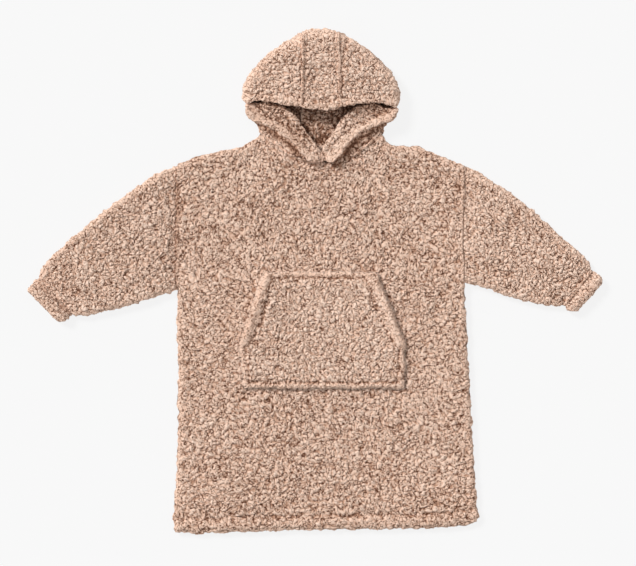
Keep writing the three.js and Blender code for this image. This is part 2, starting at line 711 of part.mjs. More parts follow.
// Points from the strip's edge on the surface, out and round the side fold, up to the layer above it.
function hoodSideLine(section) {
  const seamOut = readTable(STRIP_UNDER, section.seamY, "y", "half") + CURVED_SEAM_GAP;
  const seam = new THREE.Vector2(seamOut, section.seamY);
  const side = new THREE.Vector2(section.sideOut, section.sideY);
  const inward = seam.clone().sub(side).normalize();
  const radius = (section.level - HOOD_FLOOR) / 2;
  const foldStart = side.clone().addScaledVector(inward, radius);
  const line = [];
  for (let step = 0; step < FLOOR_SPANS; step++) {
    const at = seam.clone().lerp(foldStart, step / FLOOR_SPANS);
    line.push(new THREE.Vector3(at.x, at.y, HOOD_FLOOR));
  }
  for (let step = 0; step <= FOLD_SPANS; step++) {
    const angle = -Math.PI / 2 + (Math.PI * step) / FOLD_SPANS;
    const at = foldStart.clone().addScaledVector(inward, -radius * Math.cos(angle));
    line.push(new THREE.Vector3(at.x, at.y, HOOD_FLOOR + radius * (1 + Math.sin(angle))));
  }
  return line;
}

// Points over the top, from the side fold to the strip's other edge.
function hoodOverLine(section, start) {
  const seamOut = readTable(STRIP_OVER, section.frontY, "y", "half") + CURVED_SEAM_GAP;
  const end = new THREE.Vector3(seamOut, section.frontY, CROWN_LEVEL);
  return Array.from({ length: OVER_SPANS }, (_, step) => {
    const share = (step + 1) / OVER_SPANS;
    const at = start.clone().lerp(end, share);
    return at.setZ(THREE.MathUtils.lerp(start.z, end.z, Math.sin((share * Math.PI) / 2)));
  });
}

// Points from a start on the seam or side fold, up to the roll, over it and out to the rim.
function hoodLipLine(section, start) {
  const roll = new THREE.Vector2(section.rollOut, section.rollY);
  const from = new THREE.Vector2(start.x, start.y);
  const rim = new THREE.Vector2(section.rimOut, section.rimY);
  const back = from.clone().sub(roll).normalize();
  const away = rim.clone().sub(roll).normalize();
  const standEnd = roll.clone().addScaledVector(back, ROLL_RADIUS);
  const fallStart = roll.clone().addScaledVector(away, ROLL_RADIUS);
  const line = [];
  for (let step = 1; step <= STAND_SPANS; step++) {
    const at = from.clone().lerp(standEnd, step / STAND_SPANS);
    const z = THREE.MathUtils.lerp(start.z, section.rollZ - ROLL_RADIUS, step / STAND_SPANS);
    line.push(new THREE.Vector3(at.x, at.y, z));
  }
  for (let step = 1; step <= ROLL_SPANS; step++) {
    const angle = -Math.PI / 2 + (Math.PI * step) / ROLL_SPANS;
    const across = standEnd.clone().lerp(fallStart, step / ROLL_SPANS);
    const toRoll = roll.clone().sub(standEnd.clone().lerp(fallStart, 0.5));
    const at = across.addScaledVector(toRoll, Math.cos(angle));
    line.push(new THREE.Vector3(at.x, at.y, section.rollZ + ROLL_RADIUS * Math.sin(angle)));
  }
  for (let step = 1; step <= FALL_SPANS; step++) {
    const at = fallStart.clone().lerp(rim, step / FALL_SPANS);
    const z = THREE.MathUtils.lerp(section.rollZ + ROLL_RADIUS, RIM_LEVEL, step / FALL_SPANS);
    line.push(new THREE.Vector3(at.x, at.y, z));
  }
  return line;
}

// One side piece of the hood. Its middle surface is three patches that share edges: the part on the
// surface with the side fold, the part over the top, and the lower face edge that rolls outward.
function makeHoodSide(name, side, rollColumn) {
  const middle = [];
  const quads = [];
  const rims = new Set();
  const seams = new Set();
  const stripSeam = new Set();
  const store = (line) => line.map((point) => middle.push(point) - 1);
  const join = (lines) => {
    for (let row = 0; row < lines.length - 1; row++) {
      for (let column = 0; column < lines[row].length - 1; column++) {
        const near = lines[row];
        const far = lines[row + 1];
        quads.push([near[column], near[column + 1], far[column + 1], far[column]]);
      }
    }
  };

  const sections = [
    ...refineRows(HOOD_SECTIONS.slice(0, BROW_SECTION + 1), HOOD_STEPS).slice(0, -1),
    ...refineRows(HOOD_SECTIONS.slice(BROW_SECTION), HOOD_STEPS),
  ];
  const browLine = BROW_SECTION * HOOD_STEPS;
  const under = sections.map((section) => store(hoodSideLine(section)));
  join(under);
  for (const line of under) stripSeam.add(line[0]);
  under[under.length - 1].forEach((index) => stripSeam.add(index));
  under[0].forEach((index) => seams.add(index));

  const upperEnd = (line) => under[line][under[line].length - 1];
  const over = sections.slice(browLine).map((section, place) => {
    const start = upperEnd(browLine + place);
    return [start, ...store(hoodOverLine(section, middle[start]))];
  });
  join(over);
  over[0].slice(1).forEach((index) => rims.add(index));
  for (const line of over) stripSeam.add(line[line.length - 1]);
  over[over.length - 1].forEach((index) => stripSeam.add(index));

  const lipRows = LIP_SECTIONS.map((row) => ({ ...row, rollOut: row[rollColumn] }));
  const lipSections = refineRows(lipRows, HOOD_STEPS);
  const seamRows = LIP_SECTIONS.filter((row) => row.startOut !== undefined);
  const firstOnSide = seamRows.length * HOOD_STEPS;
  const foldStart = middle[upperEnd(0)];
  const seamStarts = [
    ...seamRows.map((row) => ({ x: row.startOut, y: row.startY })),
    { x: foldStart.x, y: foldStart.y },
  ];
  const startPlaces = refineRows(seamStarts, HOOD_STEPS);
  const lip = lipSections.map((section, place) => {
    const start = place < firstOnSide
      ? store([new THREE.Vector3(startPlaces[place].x, startPlaces[place].y, NECK_LEVEL)])[0]
      : upperEnd(place - firstOnSide);
    return [start, ...store(hoodLipLine(section, middle[start]))];
  });
  join(lip);
  for (const line of lip) rims.add(line[line.length - 1]);
  lip[lip.length - 1].slice(1).forEach((index) => rims.add(index));
  lip[0].forEach((index) => seams.add(index));

  const placed = middle.map((point) => new THREE.Vector3(point.x * side, point.y, point.z));
  const facing = side > 0 ? quads.map(([a, b, c, d]) => [a, d, c, b]) : quads;
  const sewn = (index) => seams.has(index) || stripSeam.has(index);
  const shareAt = (index) => (rims.has(index) ? FREE_SHARE : sewn(index) ? SEWN_SHARE : 1);
  const halfAt = (index) => HALF_WALL * shareAt(index);
  return cloth(name, thickened(placed, facing, halfAt, (index) => stripSeam.has(index)));
}

// The pocket lies on the front: both its faces are the front's own surface, moved out.
function makePocket() {
  const widest = POCKET_SIDES[1].right - POCKET_SIDES[1].left;
  const edgeShares = POCKET_EDGE_PLACES.map((step) => step / widest);
  const farShares = edgeShares.map((share) => 1 - share).reverse();
  const shares = [...edgeShares, ...POCKET_MIDDLE_SHARES, ...farShares];
  const slantHeights = POCKET_SLANT_PLACES.map((step) => POCKET_LOW_HEIGHT + step);
  const heights = [...POCKET_LOW_PLACES, ...slantHeights];
  const outer = [];
  const inner = [];
  for (const height of heights) {
    const y = POCKET.bottom + height;
    const left = readTable(POCKET_SIDES, y, "y", "left");
    const right = readTable(POCKET_SIDES, y, "y", "right");
    const slanted = smoothstep((y - POCKET.corner + 6) / CORNER_BLEND);
    const fromEnd = Math.min(height, POCKET.top - y);
    const endStitch = bell(fromEnd - POCKET_GROOVE.fromEnds, POCKET_GROOVE.width);
    for (const share of shares) {
      const x = THREE.MathUtils.lerp(left, right, share);
      const fromSide = Math.min(share, 1 - share) * (right - left);
      const onHem = smoothstep((POCKET.hemWidth + POCKET.hemBlend / 2 - fromSide) / POCKET.hemBlend);
      const hem = POCKET.hemRise * slanted * onHem;
      const sideStitch = bell(fromSide - POCKET_GROOVE.fromSides, POCKET_GROOVE.width);
      const stitched = Math.min(endStitch + (1 - slanted) * sideStitch, 1);
      const full = WALL + hem - POCKET_GROOVE.depth * stitched;
      const round = roundIn(fromSide, POCKET_ROUND.side) * roundIn(fromEnd, POCKET_ROUND.end);
      const base = frontFace(x, y) + POCKET_GAP;
      inner.push(new THREE.Vector3(x, y, base));
      outer.push(new THREE.Vector3(x, y, base + POCKET_EDGE + (full - POCKET_EDGE) * round));
    }
  }
  return cloth("pocket", closedShell(outer, inner, gridQuads(heights.length, shares.length)));
}

const garment = new THREE.Group();
garment.add(
  makeBack(),
  makeFront(),
  makeTube("sleeve_left", SLEEVE_LEFT),
  makeTube("sleeve_right", SLEEVE_RIGHT),
  makeTube("cuff_left", [afterSeam(SLEEVE_LEFT.at(-1)), ...CUFF_LEFT]),
  makeTube("cuff_right", [afterSeam(SLEEVE_RIGHT.at(-1)), ...CUFF_RIGHT]),
  makeHoodCentre(),
  makeHoodSide("hood_left", 1, "underOut"),
  makeHoodSide("hood_right", -1, "overOut"),
  makePocket(),
);

// The origin is under the middle of the garment, on the surface it lies on.
const bounds = new THREE.Box3().setFromObject(garment);
const centre = bounds.getCenter(new THREE.Vector3());
garment.position.set(-centre.x, -centre.y, -bounds.min.z);
garment.updateMatrixWorld(true);

export default garment;
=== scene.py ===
"""The look of a child's hooded sweatshirt of double-faced sherpa, laid flat with its front up.

Each panel is the cloth of one solid. Its wall is rounded and refined, the smaller folds and the
sewing are pressed into it, and the curls of the pile stand on every face that shows.

Lengths in the tables are in millimetres, as on the cutting table: x from the middle of the
garment to the wearer's left, y from the hem to the hood, z up off the surface it lies on.
"""

import logging
import math
from collections.abc import Iterable, Iterator
from dataclasses import dataclass
from enum import Enum
from functools import reduce
from itertools import product

import bmesh
import bpy
import numpy as np
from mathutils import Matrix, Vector
from mathutils.bvhtree import BVHTree

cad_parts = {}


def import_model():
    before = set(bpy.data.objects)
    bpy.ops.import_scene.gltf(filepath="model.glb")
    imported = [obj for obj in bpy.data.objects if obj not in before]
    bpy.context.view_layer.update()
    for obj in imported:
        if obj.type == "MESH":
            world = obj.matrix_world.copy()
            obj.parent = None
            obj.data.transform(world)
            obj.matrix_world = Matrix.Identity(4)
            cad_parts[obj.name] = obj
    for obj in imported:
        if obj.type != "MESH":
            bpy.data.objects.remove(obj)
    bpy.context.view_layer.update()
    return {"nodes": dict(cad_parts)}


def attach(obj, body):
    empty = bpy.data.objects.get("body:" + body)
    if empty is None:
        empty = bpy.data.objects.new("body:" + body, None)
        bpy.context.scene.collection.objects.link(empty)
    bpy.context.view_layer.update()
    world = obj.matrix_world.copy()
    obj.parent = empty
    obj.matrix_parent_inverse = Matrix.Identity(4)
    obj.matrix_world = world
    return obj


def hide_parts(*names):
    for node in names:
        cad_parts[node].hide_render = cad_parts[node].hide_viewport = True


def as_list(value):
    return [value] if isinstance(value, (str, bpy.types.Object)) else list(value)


LOG = logging.getLogger("sweatshirt")

Run = tuple[tuple[float, float], ...]  # the corners of a bent line on the cloth, x and y

MM = 0.001
GARMENT_MIDDLE = np.array([10.75, -465.572, 0.0])  # where the tables' zero lies in the frame
PICTURE_WIDTH = 636  # in pixels
MM_PER_PIXEL = 1.85
LOWEST, HIGHEST = -10.0, 90.0  # levels under and over the whole garment

LAYERS = ("open", "thick", "gap", "sky")  # what each vertex of a wall knows of its place
UNDERSIDE_TURN = -0.5  # the underside's normals point further down than this,
UNDERSIDE_TOP = 2.0 * MM  # and what rests on the surface also lies lower than this
OTHER_START = 0.02 * MM  # how far off the cloth a look at the other solids starts
OWN_START = 0.3 * MM  # how far off the cloth a look at its own wall starts
SKY_START = 0.4 * MM  # how far off the cloth a look at the sky starts
INNER_START = 0.05 * MM  # how far under the cloth a look through the wall starts
INNER_REACH = 0.03  # how far off the wall's other side is looked for, in metres
THICK_WALL = 8.0  # the wall's thickness where no other side is found
SKY_REACH = 0.12  # how far off the garment still covers the sky, in metres
SKY_RINGS = ((1, 0.05), (6, 0.55), (8, 1.0), (8, 1.32))  # looks in a ring, and its tilt

SEAM_REACH = 4.0  # how wide the gap between two sewn edges may be
SEAM_UPRIGHT = 0.85  # the normals on a seam's sides point less far up or down than this
SEAM_MEETING = 0.55  # the share of the gap that each side crosses
SEAM_OVERLAP = 2.8  # how far each side then reaches into the other
SEAM_FILL = 3.8  # how high the pile stands in the groove of a seam
GROOVE_LOW, GROOVE_MORE = 0.3, 0.7  # the share of it in a crevice, and what a curl adds
GROOVE_LEVEL, GROOVE_FADE = 3.0, 4.0  # the level where it starts, and over how much it grows


def eased(value: np.ndarray) -> np.ndarray:
    """A soft step from 0 to 1, flat at both ends."""
    share = np.clip(value, 0.0, 1.0)
    return share * share * (3.0 - 2.0 * share)


def bell(away: np.ndarray, width: float) -> np.ndarray:
    """A soft hump beside a line, from 1 on it to hardly anything at twice its width."""
    return np.exp(-((away / width) ** 2))


def over_level(cloth: np.ndarray, level: float, fade: float = 4.0) -> np.ndarray:
    """A soft step from 0 for cloth at a level to 1 for cloth that lies higher by fade."""
    return eased((cloth[:, 2] - level) / fade)


def strongest(shares: Iterable[np.ndarray], count: int) -> np.ndarray:
    """The largest of several shares at each of count places, and 0 without any."""
    return reduce(np.maximum, shares, np.zeros(count))


def values_of(source: bpy.types.bpy_prop_collection, name: str, width: int = 1) -> np.ndarray:
    """Reads one value of every element.

    Args:
        source: The elements.
        name: The value's name.
        width: How many numbers it has.

    Returns:
        The numbers, one row for each element where a value has several.
    """
    found = np.zeros(len(source) * width)
    source.foreach_get(name, found)
    return found.reshape(-1, width) if width > 1 else found


def sky_ways() -> list[Vector]:
    """Spreads directions over the sky, in rings from straight up to near the horizon.

    Returns:
        The directions.
    """
    ways = []
    for count, tilt in SKY_RINGS:
        for step in range(count):
            turn = 2.0 * math.pi * step / count
            flat = math.sin(tilt)
            ways.append(Vector((flat * math.cos(turn), flat * math.sin(turn), math.cos(tilt))))
    return ways


SKY = sky_ways()


# Numbers on a lattice, for the pile

AXIS_FACTORS = (374761393, 668265263, 1442695041)
SEED_FACTOR, CHANNEL_FACTOR = 7919, 104729
STIRS = ((13, 1274126177), (15, 2246822519), (16, 3266489917))  # shifts and factors
LAST_SHIFT = 14
NUMBER_RANGE = 4294967296.0
HEIGHT_CHANNEL = 3  # the number of a cell after the three that seat its lump
STRAY_CHANNEL = 5


@dataclass(frozen=True)
class Lattice:
    """Even random numbers on a lattice of cells, the same on every run."""

    seed: int

    def number(self, cells: np.ndarray, channel: int) -> np.ndarray:
        """The random number of each cell.

        Args:
            cells: Whole-number places of the cells, one row each.
            channel: Which of a cell's numbers is wanted.

        Returns:
            A number from 0 to 1 for each cell.
        """
        x, y, z = (
            cells[..., axis].astype(np.uint32) * np.uint32(factor)
            for axis, factor in enumerate(AXIS_FACTORS)
        )
        mixed = x + y + z + np.uint32(self.seed * SEED_FACTOR + channel * CHANNEL_FACTOR)
        for shift, factor in STIRS:
            mixed = (mixed ^ (mixed >> np.uint32(shift))) * np.uint32(factor)
        return (mixed ^ (mixed >> np.uint32(LAST_SHIFT))) / NUMBER_RANGE

    def drift(self, points: np.ndarray, channel: int) -> np.ndarray:
        """Smooth noise from 0 to 1 through the lattice's numbers.

        Args:
            points: Places in units of one cell.
            channel: Which of the lattice's numbers it runs through.

        Returns:
            The noise at each place.
        """
        base = np.floor(points).astype(np.int64)
        blend = eased(points - base)
        total = np.zeros(len(points))
        for corner in product((0, 1), repeat=3):
            weight = np.prod(np.where(corner, blend, 1.0 - blend), axis=1)
            total += weight * self.number(base + np.array(corner), channel)
        return total

    def stray(self, points: np.ndarray, axes: int) -> np.ndarray:
        """Smooth shifts from -1 to 1.

        Args:
            points: Places in units of one cell.
            axes: How many of the axes, from x on, the shifts run along.

        Returns:
            The shift of each place.
        """
        shift = np.zeros((len(points), 3))
        for axis in range(axes):
            shift[:, axis] = self.drift(points, STRAY_CHANNEL + axis) - 0.5
        return shift * 2.0

    def lumps(self, points: np.ndarray) -> tuple[np.ndarray, np.ndarray]:
        """Rounded lumps with creases between them.

        Args:
            points: Places in units of one lump.

        Returns:
            How far each place lies from the nearest crease, and its own lump's number.
        """
        base = np.floor(points).astype(np.int64)
        near = np.full(len(points), np.inf)
        second = near.copy()
        own = np.zeros(len(points))
        for offset in product((-1, 0, 1), repeat=3):
            cell = base + np.array(offset)
            seat = cell + np.stack([self.number(cell, axis) for axis in range(3)], axis=1)
            away = np.linalg.norm(points - seat, axis=1)
            closer = away < near
            second = np.where(closer, near, np.minimum(second, away))
            own = np.where(closer, self.number(cell, HEIGHT_CHANNEL), own)
            near = np.where(closer, away, near)
        return second - near, own


@dataclass(frozen=True)
class Lumps:
    """The lumps of one size that the pile is made of."""

    lattice: Lattice
    size: float
    crease: float  # how wide the crease round a lump is, as a share of its size
    lowest: float  # how high the lowest lump stands, where the highest stands at 1
    spread: float  # how much higher the highest one stands
    share: float  # what these lumps add to the pile's height

    def height(self, places: np.ndarray) -> np.ndarray:
        """What the lumps add to the pile's height at each place."""
        gap, own = self.lattice.lumps(places / self.size)
        return self.share * (eased(gap / self.crease) * (self.lowest + self.spread * own))


@dataclass(frozen=True)
class Pile:
    """The curls of the pile, which stand together in clumps."""

    clumps: Lumps = Lumps(Lattice(11), 8.6, 0.30, 0.72, 0.28, 0.62)
    curls: Lumps = Lumps(Lattice(23), 5.4, 0.42, 0.6, 0.4, 0.38)
    wander: float = 3.4  # how far both stray from their even places
    wander_reach: float = 7.0
    depth: float = 3.4  # how far the deepest crevice lies under the solid's face
    proud: float = 2.1  # how far the highest curl stands over it
    sway: float = 2.4
    sway_reach: float = 8.5

    def height(self, points: np.ndarray) -> np.ndarray:
        """How high the pile stands, from 0 in a crevice to 1 on top of a curl."""
        moved = points + self.clumps.lattice.stray(points / self.wander_reach, 3) * self.wander
        return self.clumps.height(moved) + self.curls.height(moved)

    def swaying(self, points: np.ndarray) -> np.ndarray:
        """How far the pile's weight draws each place sideways, the same on all the panels."""
        return self.curls.lattice.stray(points / self.sway_reach, 2) * self.sway


# Folds and sewing

TAPER = 4.0  # how fast a fold grows from its ends, over the length of its run
CALM_REACH, CALM_FADE = 1.7, 0.5  # how far a hem calms the pile, in widths of its fold
SHADE_FADE = 3.0  # how much higher or lower than its levels a shade ends


@dataclass(frozen=True)
class Fold:
    """A soft ridge, or a trough where its rise is below 0, along a bent run."""

    run: Run
    width: float
    rise: float
    above: float = LOWEST
    blunt: float = 0.25
    calm: float = 0.0

    def at(self, cloth: np.ndarray) -> np.ndarray:
        """How much the fold lifts the cloth, tapering towards the run's ends.

        Args:
            cloth: Places on the cloth; those below above aren't lifted.

        Returns:
            The lift at each place.
        """
        away, along = nearest_on_run(self.run, cloth[:, :2])
        taper = eased(np.minimum(along, 1.0 - along) * TAPER + self.blunt)
        return self.rise * taper * over_level(cloth, self.above) * bell(away, self.width)

    def calming(self, cloth: np.ndarray) -> np.ndarray:
        """How much a turned hem evens out its pile.

        Args:
            cloth: Places on the cloth; those below above aren't reached.

        Returns:
            A share from 0 to 1 for each place.
        """
        away, _ = nearest_on_run(self.run, cloth[:, :2])
        near = eased((CALM_REACH * self.width - away) / (CALM_FADE * self.width))
        return self.calm * over_level(cloth, self.above) * near


@dataclass(frozen=True)
class Shade:
    """A place along a run that little light reaches."""

    run: Run
    width: float
    depth: float
    above: float = LOWEST
    below: float = HIGHEST

    def at(self, cloth: np.ndarray) -> np.ndarray:
        """How much light each place loses.

        Args:
            cloth: Places on the cloth; only those from above to below are shaded.

        Returns:
            A share from 0 to 1 for each place.
        """
        away, _ = nearest_on_run(self.run, cloth[:, :2])
        low = eased((self.below - cloth[:, 2]) / SHADE_FADE)
        high = over_level(cloth, self.above, SHADE_FADE) * low
        return self.depth * high * bell(away, self.width)


@dataclass(frozen=True)
class Sewing:
    """A line of sewing that holds the pile down."""

    run: Run
    width: float = 3.0
    stitch: float = 9.0
    above: float = LOWEST
    strength: float = 1.0
    even_pull: float = 0.8
    stitch_pull: float = 0.2

    def at(self, cloth: np.ndarray) -> np.ndarray:
        """How firmly the line holds the cloth down, from 0 to 1, firmest at each stitch.

        Args:
            cloth: Places on the cloth; those below above aren't held.

        Returns:
            The hold at each place.
        """
        away, along = nearest_on_run(self.run, cloth[:, :2])
        turns = along * run_length(self.run) / self.stitch * 2.0 * math.pi
        pull = self.even_pull + self.stitch_pull * np.cos(turns)
        return self.strength * pull * over_level(cloth, self.above) * bell(away, self.width)


@dataclass(frozen=True)
class Nudge:
    """A soft push on the cloth round one place."""

    centre: tuple[float, float, float]
    reach: float
    shift: tuple[float, float, float]

    def at(self, cloth: np.ndarray) -> np.ndarray:
        """How far each place is pushed."""
        away = np.linalg.norm(cloth - np.array(self.centre), axis=1)
        return bell(away, self.reach)[:, None] * np.array(self.shift)


def run_length(run: Run) -> float:
    """The length of a bent run."""
    return sum(math.dist(start, end) for start, end in zip(run, run[1:]))


def nearest_on_run(run: Run, places: np.ndarray) -> tuple[np.ndarray, np.ndarray]:
    """Where places lie beside a bent run.

    Args:
        run: The run's corners.
        places: Places on the cloth, x and y.

    Returns:
        Each place's distance from the run, and how far along the run that is, from 0 to 1.
    """
    best = np.full(len(places), np.inf)
    along = np.zeros(len(places))
    total = run_length(run)
    passed = 0.0
    for start, end in zip(run, run[1:]):
        first = np.array(start)
        step = np.array(end) - first
        length = float(np.linalg.norm(step))
        share = np.clip((places - first) @ step / length**2, 0.0, 1.0)
        away = np.linalg.norm(places - first - share[:, None] * step, axis=1)
        closer = away < best
        along = np.where(closer, (passed + share * length) / total, along)
        best = np.where(closer, away, best)
        passed += length
    return best, along


# Shading


class Flow:
    """A shader socket that can be reckoned with as a number."""

    def __init__(self, shading: "Shading", socket: bpy.types.NodeSocket) -> None:
        """Keeps the socket and the shading it belongs to."""
        self.shading = shading
        self.socket = socket

    def _with(self, operation: str, first: "Flow | float", second: "Flow | float") -> "Flow":
        """The result of one sum on two values."""
        return self.shading.add("Math", {"operation": operation}, {0: first, 1: second})

    def __add__(self, other: "Flow | float") -> "Flow":
        """This plus another."""
        return self._with("ADD", self, other)

    def __sub__(self, other: "Flow | float") -> "Flow":
        """This less another."""
        return self._with("SUBTRACT", self, other)

    def __rsub__(self, other: "Flow | float") -> "Flow":
        """Another less this."""
        return self._with("SUBTRACT", other, self)

    def __mul__(self, other: "Flow | float") -> "Flow":
        """This times another."""
        return self._with("MULTIPLY", self, other)

    __radd__, __rmul__ = __add__, __mul__


class Shading:
    """The nodes of one material."""

    def __init__(self, name: str) -> None:
        """Starts an empty material.

        Args:
            name: The material's name.
        """
        self.material = bpy.data.materials.new(name)
        self.material.use_nodes = True
        self.tree = self.material.node_tree
        self.tree.nodes.clear()

    def add(
        self, kind: str, settings: dict | None = None, values: dict | None = None,
        out: str | int = 0,
    ) -> Flow:
        """Adds a node, sets it up and joins its sockets.

        Args:
            kind: The node's type, without its ShaderNode prefix.
            settings: What is set on the node itself; a ramp's stops go under "stops".
            values: The value or link of each input, by name or number.
            out: The output that is wanted, by name or number.

        Returns:
            The wanted output.
        """
        node = self.tree.nodes.new("ShaderNode" + kind)
        for name, value in (settings or {}).items():
            if name == "stops":
                ramp = node.color_ramp
                while len(ramp.elements) < len(value):
                    ramp.elements.new(0.5)
                for element, (place, colour) in zip(ramp.elements, value):
                    element.position = place
                    element.color = (*colour, 1.0)
            else:
                setattr(node, name, value)
        for name, value in (values or {}).items():
            if isinstance(value, Flow):
                self.tree.links.new(value.socket, node.inputs[name])
            else:
                node.inputs[name].default_value = value
        return Flow(self, node.outputs[out])

    def attribute(self, name: str) -> Flow:
        """The value that the mesh holds under a name."""
        return self.add("Attribute", {"attribute_name": name}, out="Fac")

    def noise(self, place: Flow, scale: float, detail: float, out: str = "Fac") -> Flow:
        """Soft noise through space, with scale waves in a metre."""
        values = {"Vector": place, "Scale": scale, "Detail": detail}
        return self.add("TexNoise", {"noise_dimensions": "3D"}, values, out)

    def finish(self, surface: Flow) -> bpy.types.Material:
        """Joins the surface to the material's output.

        Args:
            surface: What the material shows.

        Returns:
            The material.
        """
        node = self.tree.nodes.new("ShaderNodeOutputMaterial")
        self.tree.links.new(surface.socket, node.inputs["Surface"])
        return self.material


@dataclass(frozen=True)
class SherpaFinish:
    """Curly sherpa: light curl tops, crevices in brown painted shade, a soft bloom at grazing
    angles.
    """

    name: str = "sherpa"
    tones: tuple[tuple[float, tuple[float, float, float]], ...] = (
        # painted shade: the two darker stops stand for shade in the crevices and between the curls
        (0.05, (0.13, 0.050, 0.026)),  # in a crevice
        (0.30, (0.44, 0.245, 0.160)),  # in the shade of the curls
        (0.58, (0.82, 0.565, 0.432)),  # on their sides
        (1.0, (0.92, 0.705, 0.575)),  # on their tips
    )
    curl_size: float = 6.4 * MM
    fibre_size: float = 1.3 * MM
    patch_size: float = 90.0 * MM
    bends: float = 0.7  # how often a crease between curls bends, for each curl
    bend_reach: float = 0.6  # how far it bends, as a share of a curl
    crease: float = 0.055  # how wide it is, on the ripple's own scale
    calm_creases: float = 0.35  # how much of it a calm hem takes away

    # What each thing adds to the tone, and the painted shade that crevices and shade take away
    pile_tone: float = 0.84
    curl_tone: float = 0.66
    fibre_tone: float = 0.22
    patch_tone: float = 0.24
    sewn_tone: float = 0.38
    start_tone: float = 0.63
    shade_tone: float = 0.52
    # painted shade: calm_tone darkens calm pile, such as the steep walls of rolled edges
    calm_tone: float = 0.22

    curl_relief: float = 0.7
    fibre_relief: float = 0.3
    relief: float = 1.45 * MM
    roughness: float = 0.95
    gloss: float = 0.12
    bloom: float = 0.20
    bloom_width: float = 0.45
    bloom_tint: tuple[float, float, float, float] = (1.0, 0.86, 0.76, 1.0)

    def material(self) -> bpy.types.Material:
        """Builds the cloth's material.

        Returns:
            The material, which reads the attributes pile, sewn, daylight and calm.
        """
        make = Shading(self.name)
        place = make.add("TexCoord", out="Object")
        pile, sewn, daylight, calm = (
            make.attribute(name) for name in ("pile", "sewn", "daylight", "calm")
        )
        wander = make.noise(place, self.bends / self.curl_size, detail=1.5, out="Color")
        moved = make.add(
            "VectorMath",
            {"operation": "MULTIPLY_ADD"},
            {0: wander, 1: (self.curl_size * self.bend_reach,) * 3, 2: place},
        )
        ripple = make.noise(moved, 1.0 / self.curl_size, detail=1.0)
        edge = make.add("Math", {"operation": "ABSOLUTE"}, {0: ripple - 0.5})
        curl = make.add(
            "MapRange",
            {"interpolation_type": "SMOOTHSTEP"},
            {"Value": edge, "From Min": 0.0, "From Max": self.crease},
        )
        curl = 1.0 - (1.0 - curl) * (1.0 - calm * self.calm_creases)
        fibre = make.noise(place, 1.0 / self.fibre_size, detail=2.0)
        patch = make.noise(place, 1.0 / self.patch_size, detail=2.0)
        # painted shade: low pile and the curls' creases darken the tone
        tone = pile * self.pile_tone + curl * self.curl_tone
        tone = tone + fibre * self.fibre_tone + patch * self.patch_tone
        tone = tone - sewn * self.sewn_tone - self.start_tone
        tone = tone - (1.0 - daylight) * self.shade_tone - calm * self.calm_tone
        colour = make.add("ValToRGB", {"stops": self.tones}, {"Fac": tone}, out="Color")
        height = curl * self.curl_relief + fibre * self.fibre_relief
        bump = make.add(
            "Bump",
            values={"Strength": 1.0, "Distance": self.relief, "Height": height},
            out="Normal",
        )
        surface = make.add(
            "BsdfPrincipled",
            values={
                "Base Color": colour,
                "Roughness": self.roughness,
                "Specular IOR Level": self.gloss,
                "Sheen Weight": self.bloom,
                "Sheen Roughness": self.bloom_width,
                "Sheen Tint": self.bloom_tint,
                "Normal": bump,
            },
            out="BSDF",
        )
        return make.finish(surface)


# Panels

WELD = 0.01 * MM  # vertices that lie closer are one
FLAT_ANGLE, SQUARE_ANGLE = 0.9, 2.6  # how much two triangles that are joined may differ
HALF_OPEN = 0.5
EVENING_ROUNDS = 2  # how often what a vertex knows flows into its neighbours
HALVINGS = 7  # how often a long edge may be cut in half
SHOWING = 0.2  # cloth that lies open by more than this is refined
OPEN_GAIN = 1.25  # how soon cloth that lies partly open counts as open
LIFT_GAIN, LIFT_START = 1.3, 0.35  # how a fold's lift grows with how far the cloth faces up
HOLD_GAIN = 2.0  # how the hold of sewing grows with the same
EDGE_TOP, EDGE_TOP_FADE = 0.95, 0.30  # a rolled edge lies where the cloth faces up less,
EDGE_FOOT, EDGE_FOOT_FADE = 0.2, 0.5  # and hardly faces down
EDGE_CALM = 0.85  # how calm the pile of a rolled edge lies
CALM_SHARE = 0.65  # how much of the pile's unevenness a calm hem takes away
CALM_HEIGHT = 0.82  # how high the pile of a calm hem stands
SEWN_SHARE = 0.6  # how much of the pile's height sewing takes away
DEEPEST_SHARE = 0.36  # the share of the wall that a crevice may reach through
UNDER_START, UNDER_FADE = 0.3, 0.3  # how far down cloth faces that lies underneath
COVERED_TONE, OPEN_TONE = 0.4, 0.6  # the tone of covered pile, and what light adds to it


class Held(Enum):
    """How a sheet of cloth is held."""

    LAID = "laid"
    FOLDED = "folded"


class Surroundings:
    """The other solids round one panel, to find what of it lies open and what is covered."""

    def __init__(self, nodes: dict[str, bpy.types.Object], left_out: str) -> None:
        """Gathers the solids' faces.

        Args:
            nodes: The CAD nodes by name.
            left_out: The panel's own node.
        """
        corners: list[Vector] = []
        faces: list[tuple[int, ...]] = []
        for name, solid in nodes.items():
            if name == left_out:
                continue
            start = len(corners)
            corners += [vertex.co.copy() for vertex in solid.data.vertices]
            faces += [tuple(start + i for i in face.vertices) for face in solid.data.polygons]
        self.tree = BVHTree.FromPolygons(corners, faces)

    def distance(self, place: Vector, way: Vector, reach: float) -> float:
        """How far the next solid lies from a place, or reach where none is nearer."""
        found = self.tree.ray_cast(place, way, reach)[3]
        return reach if found is None else found


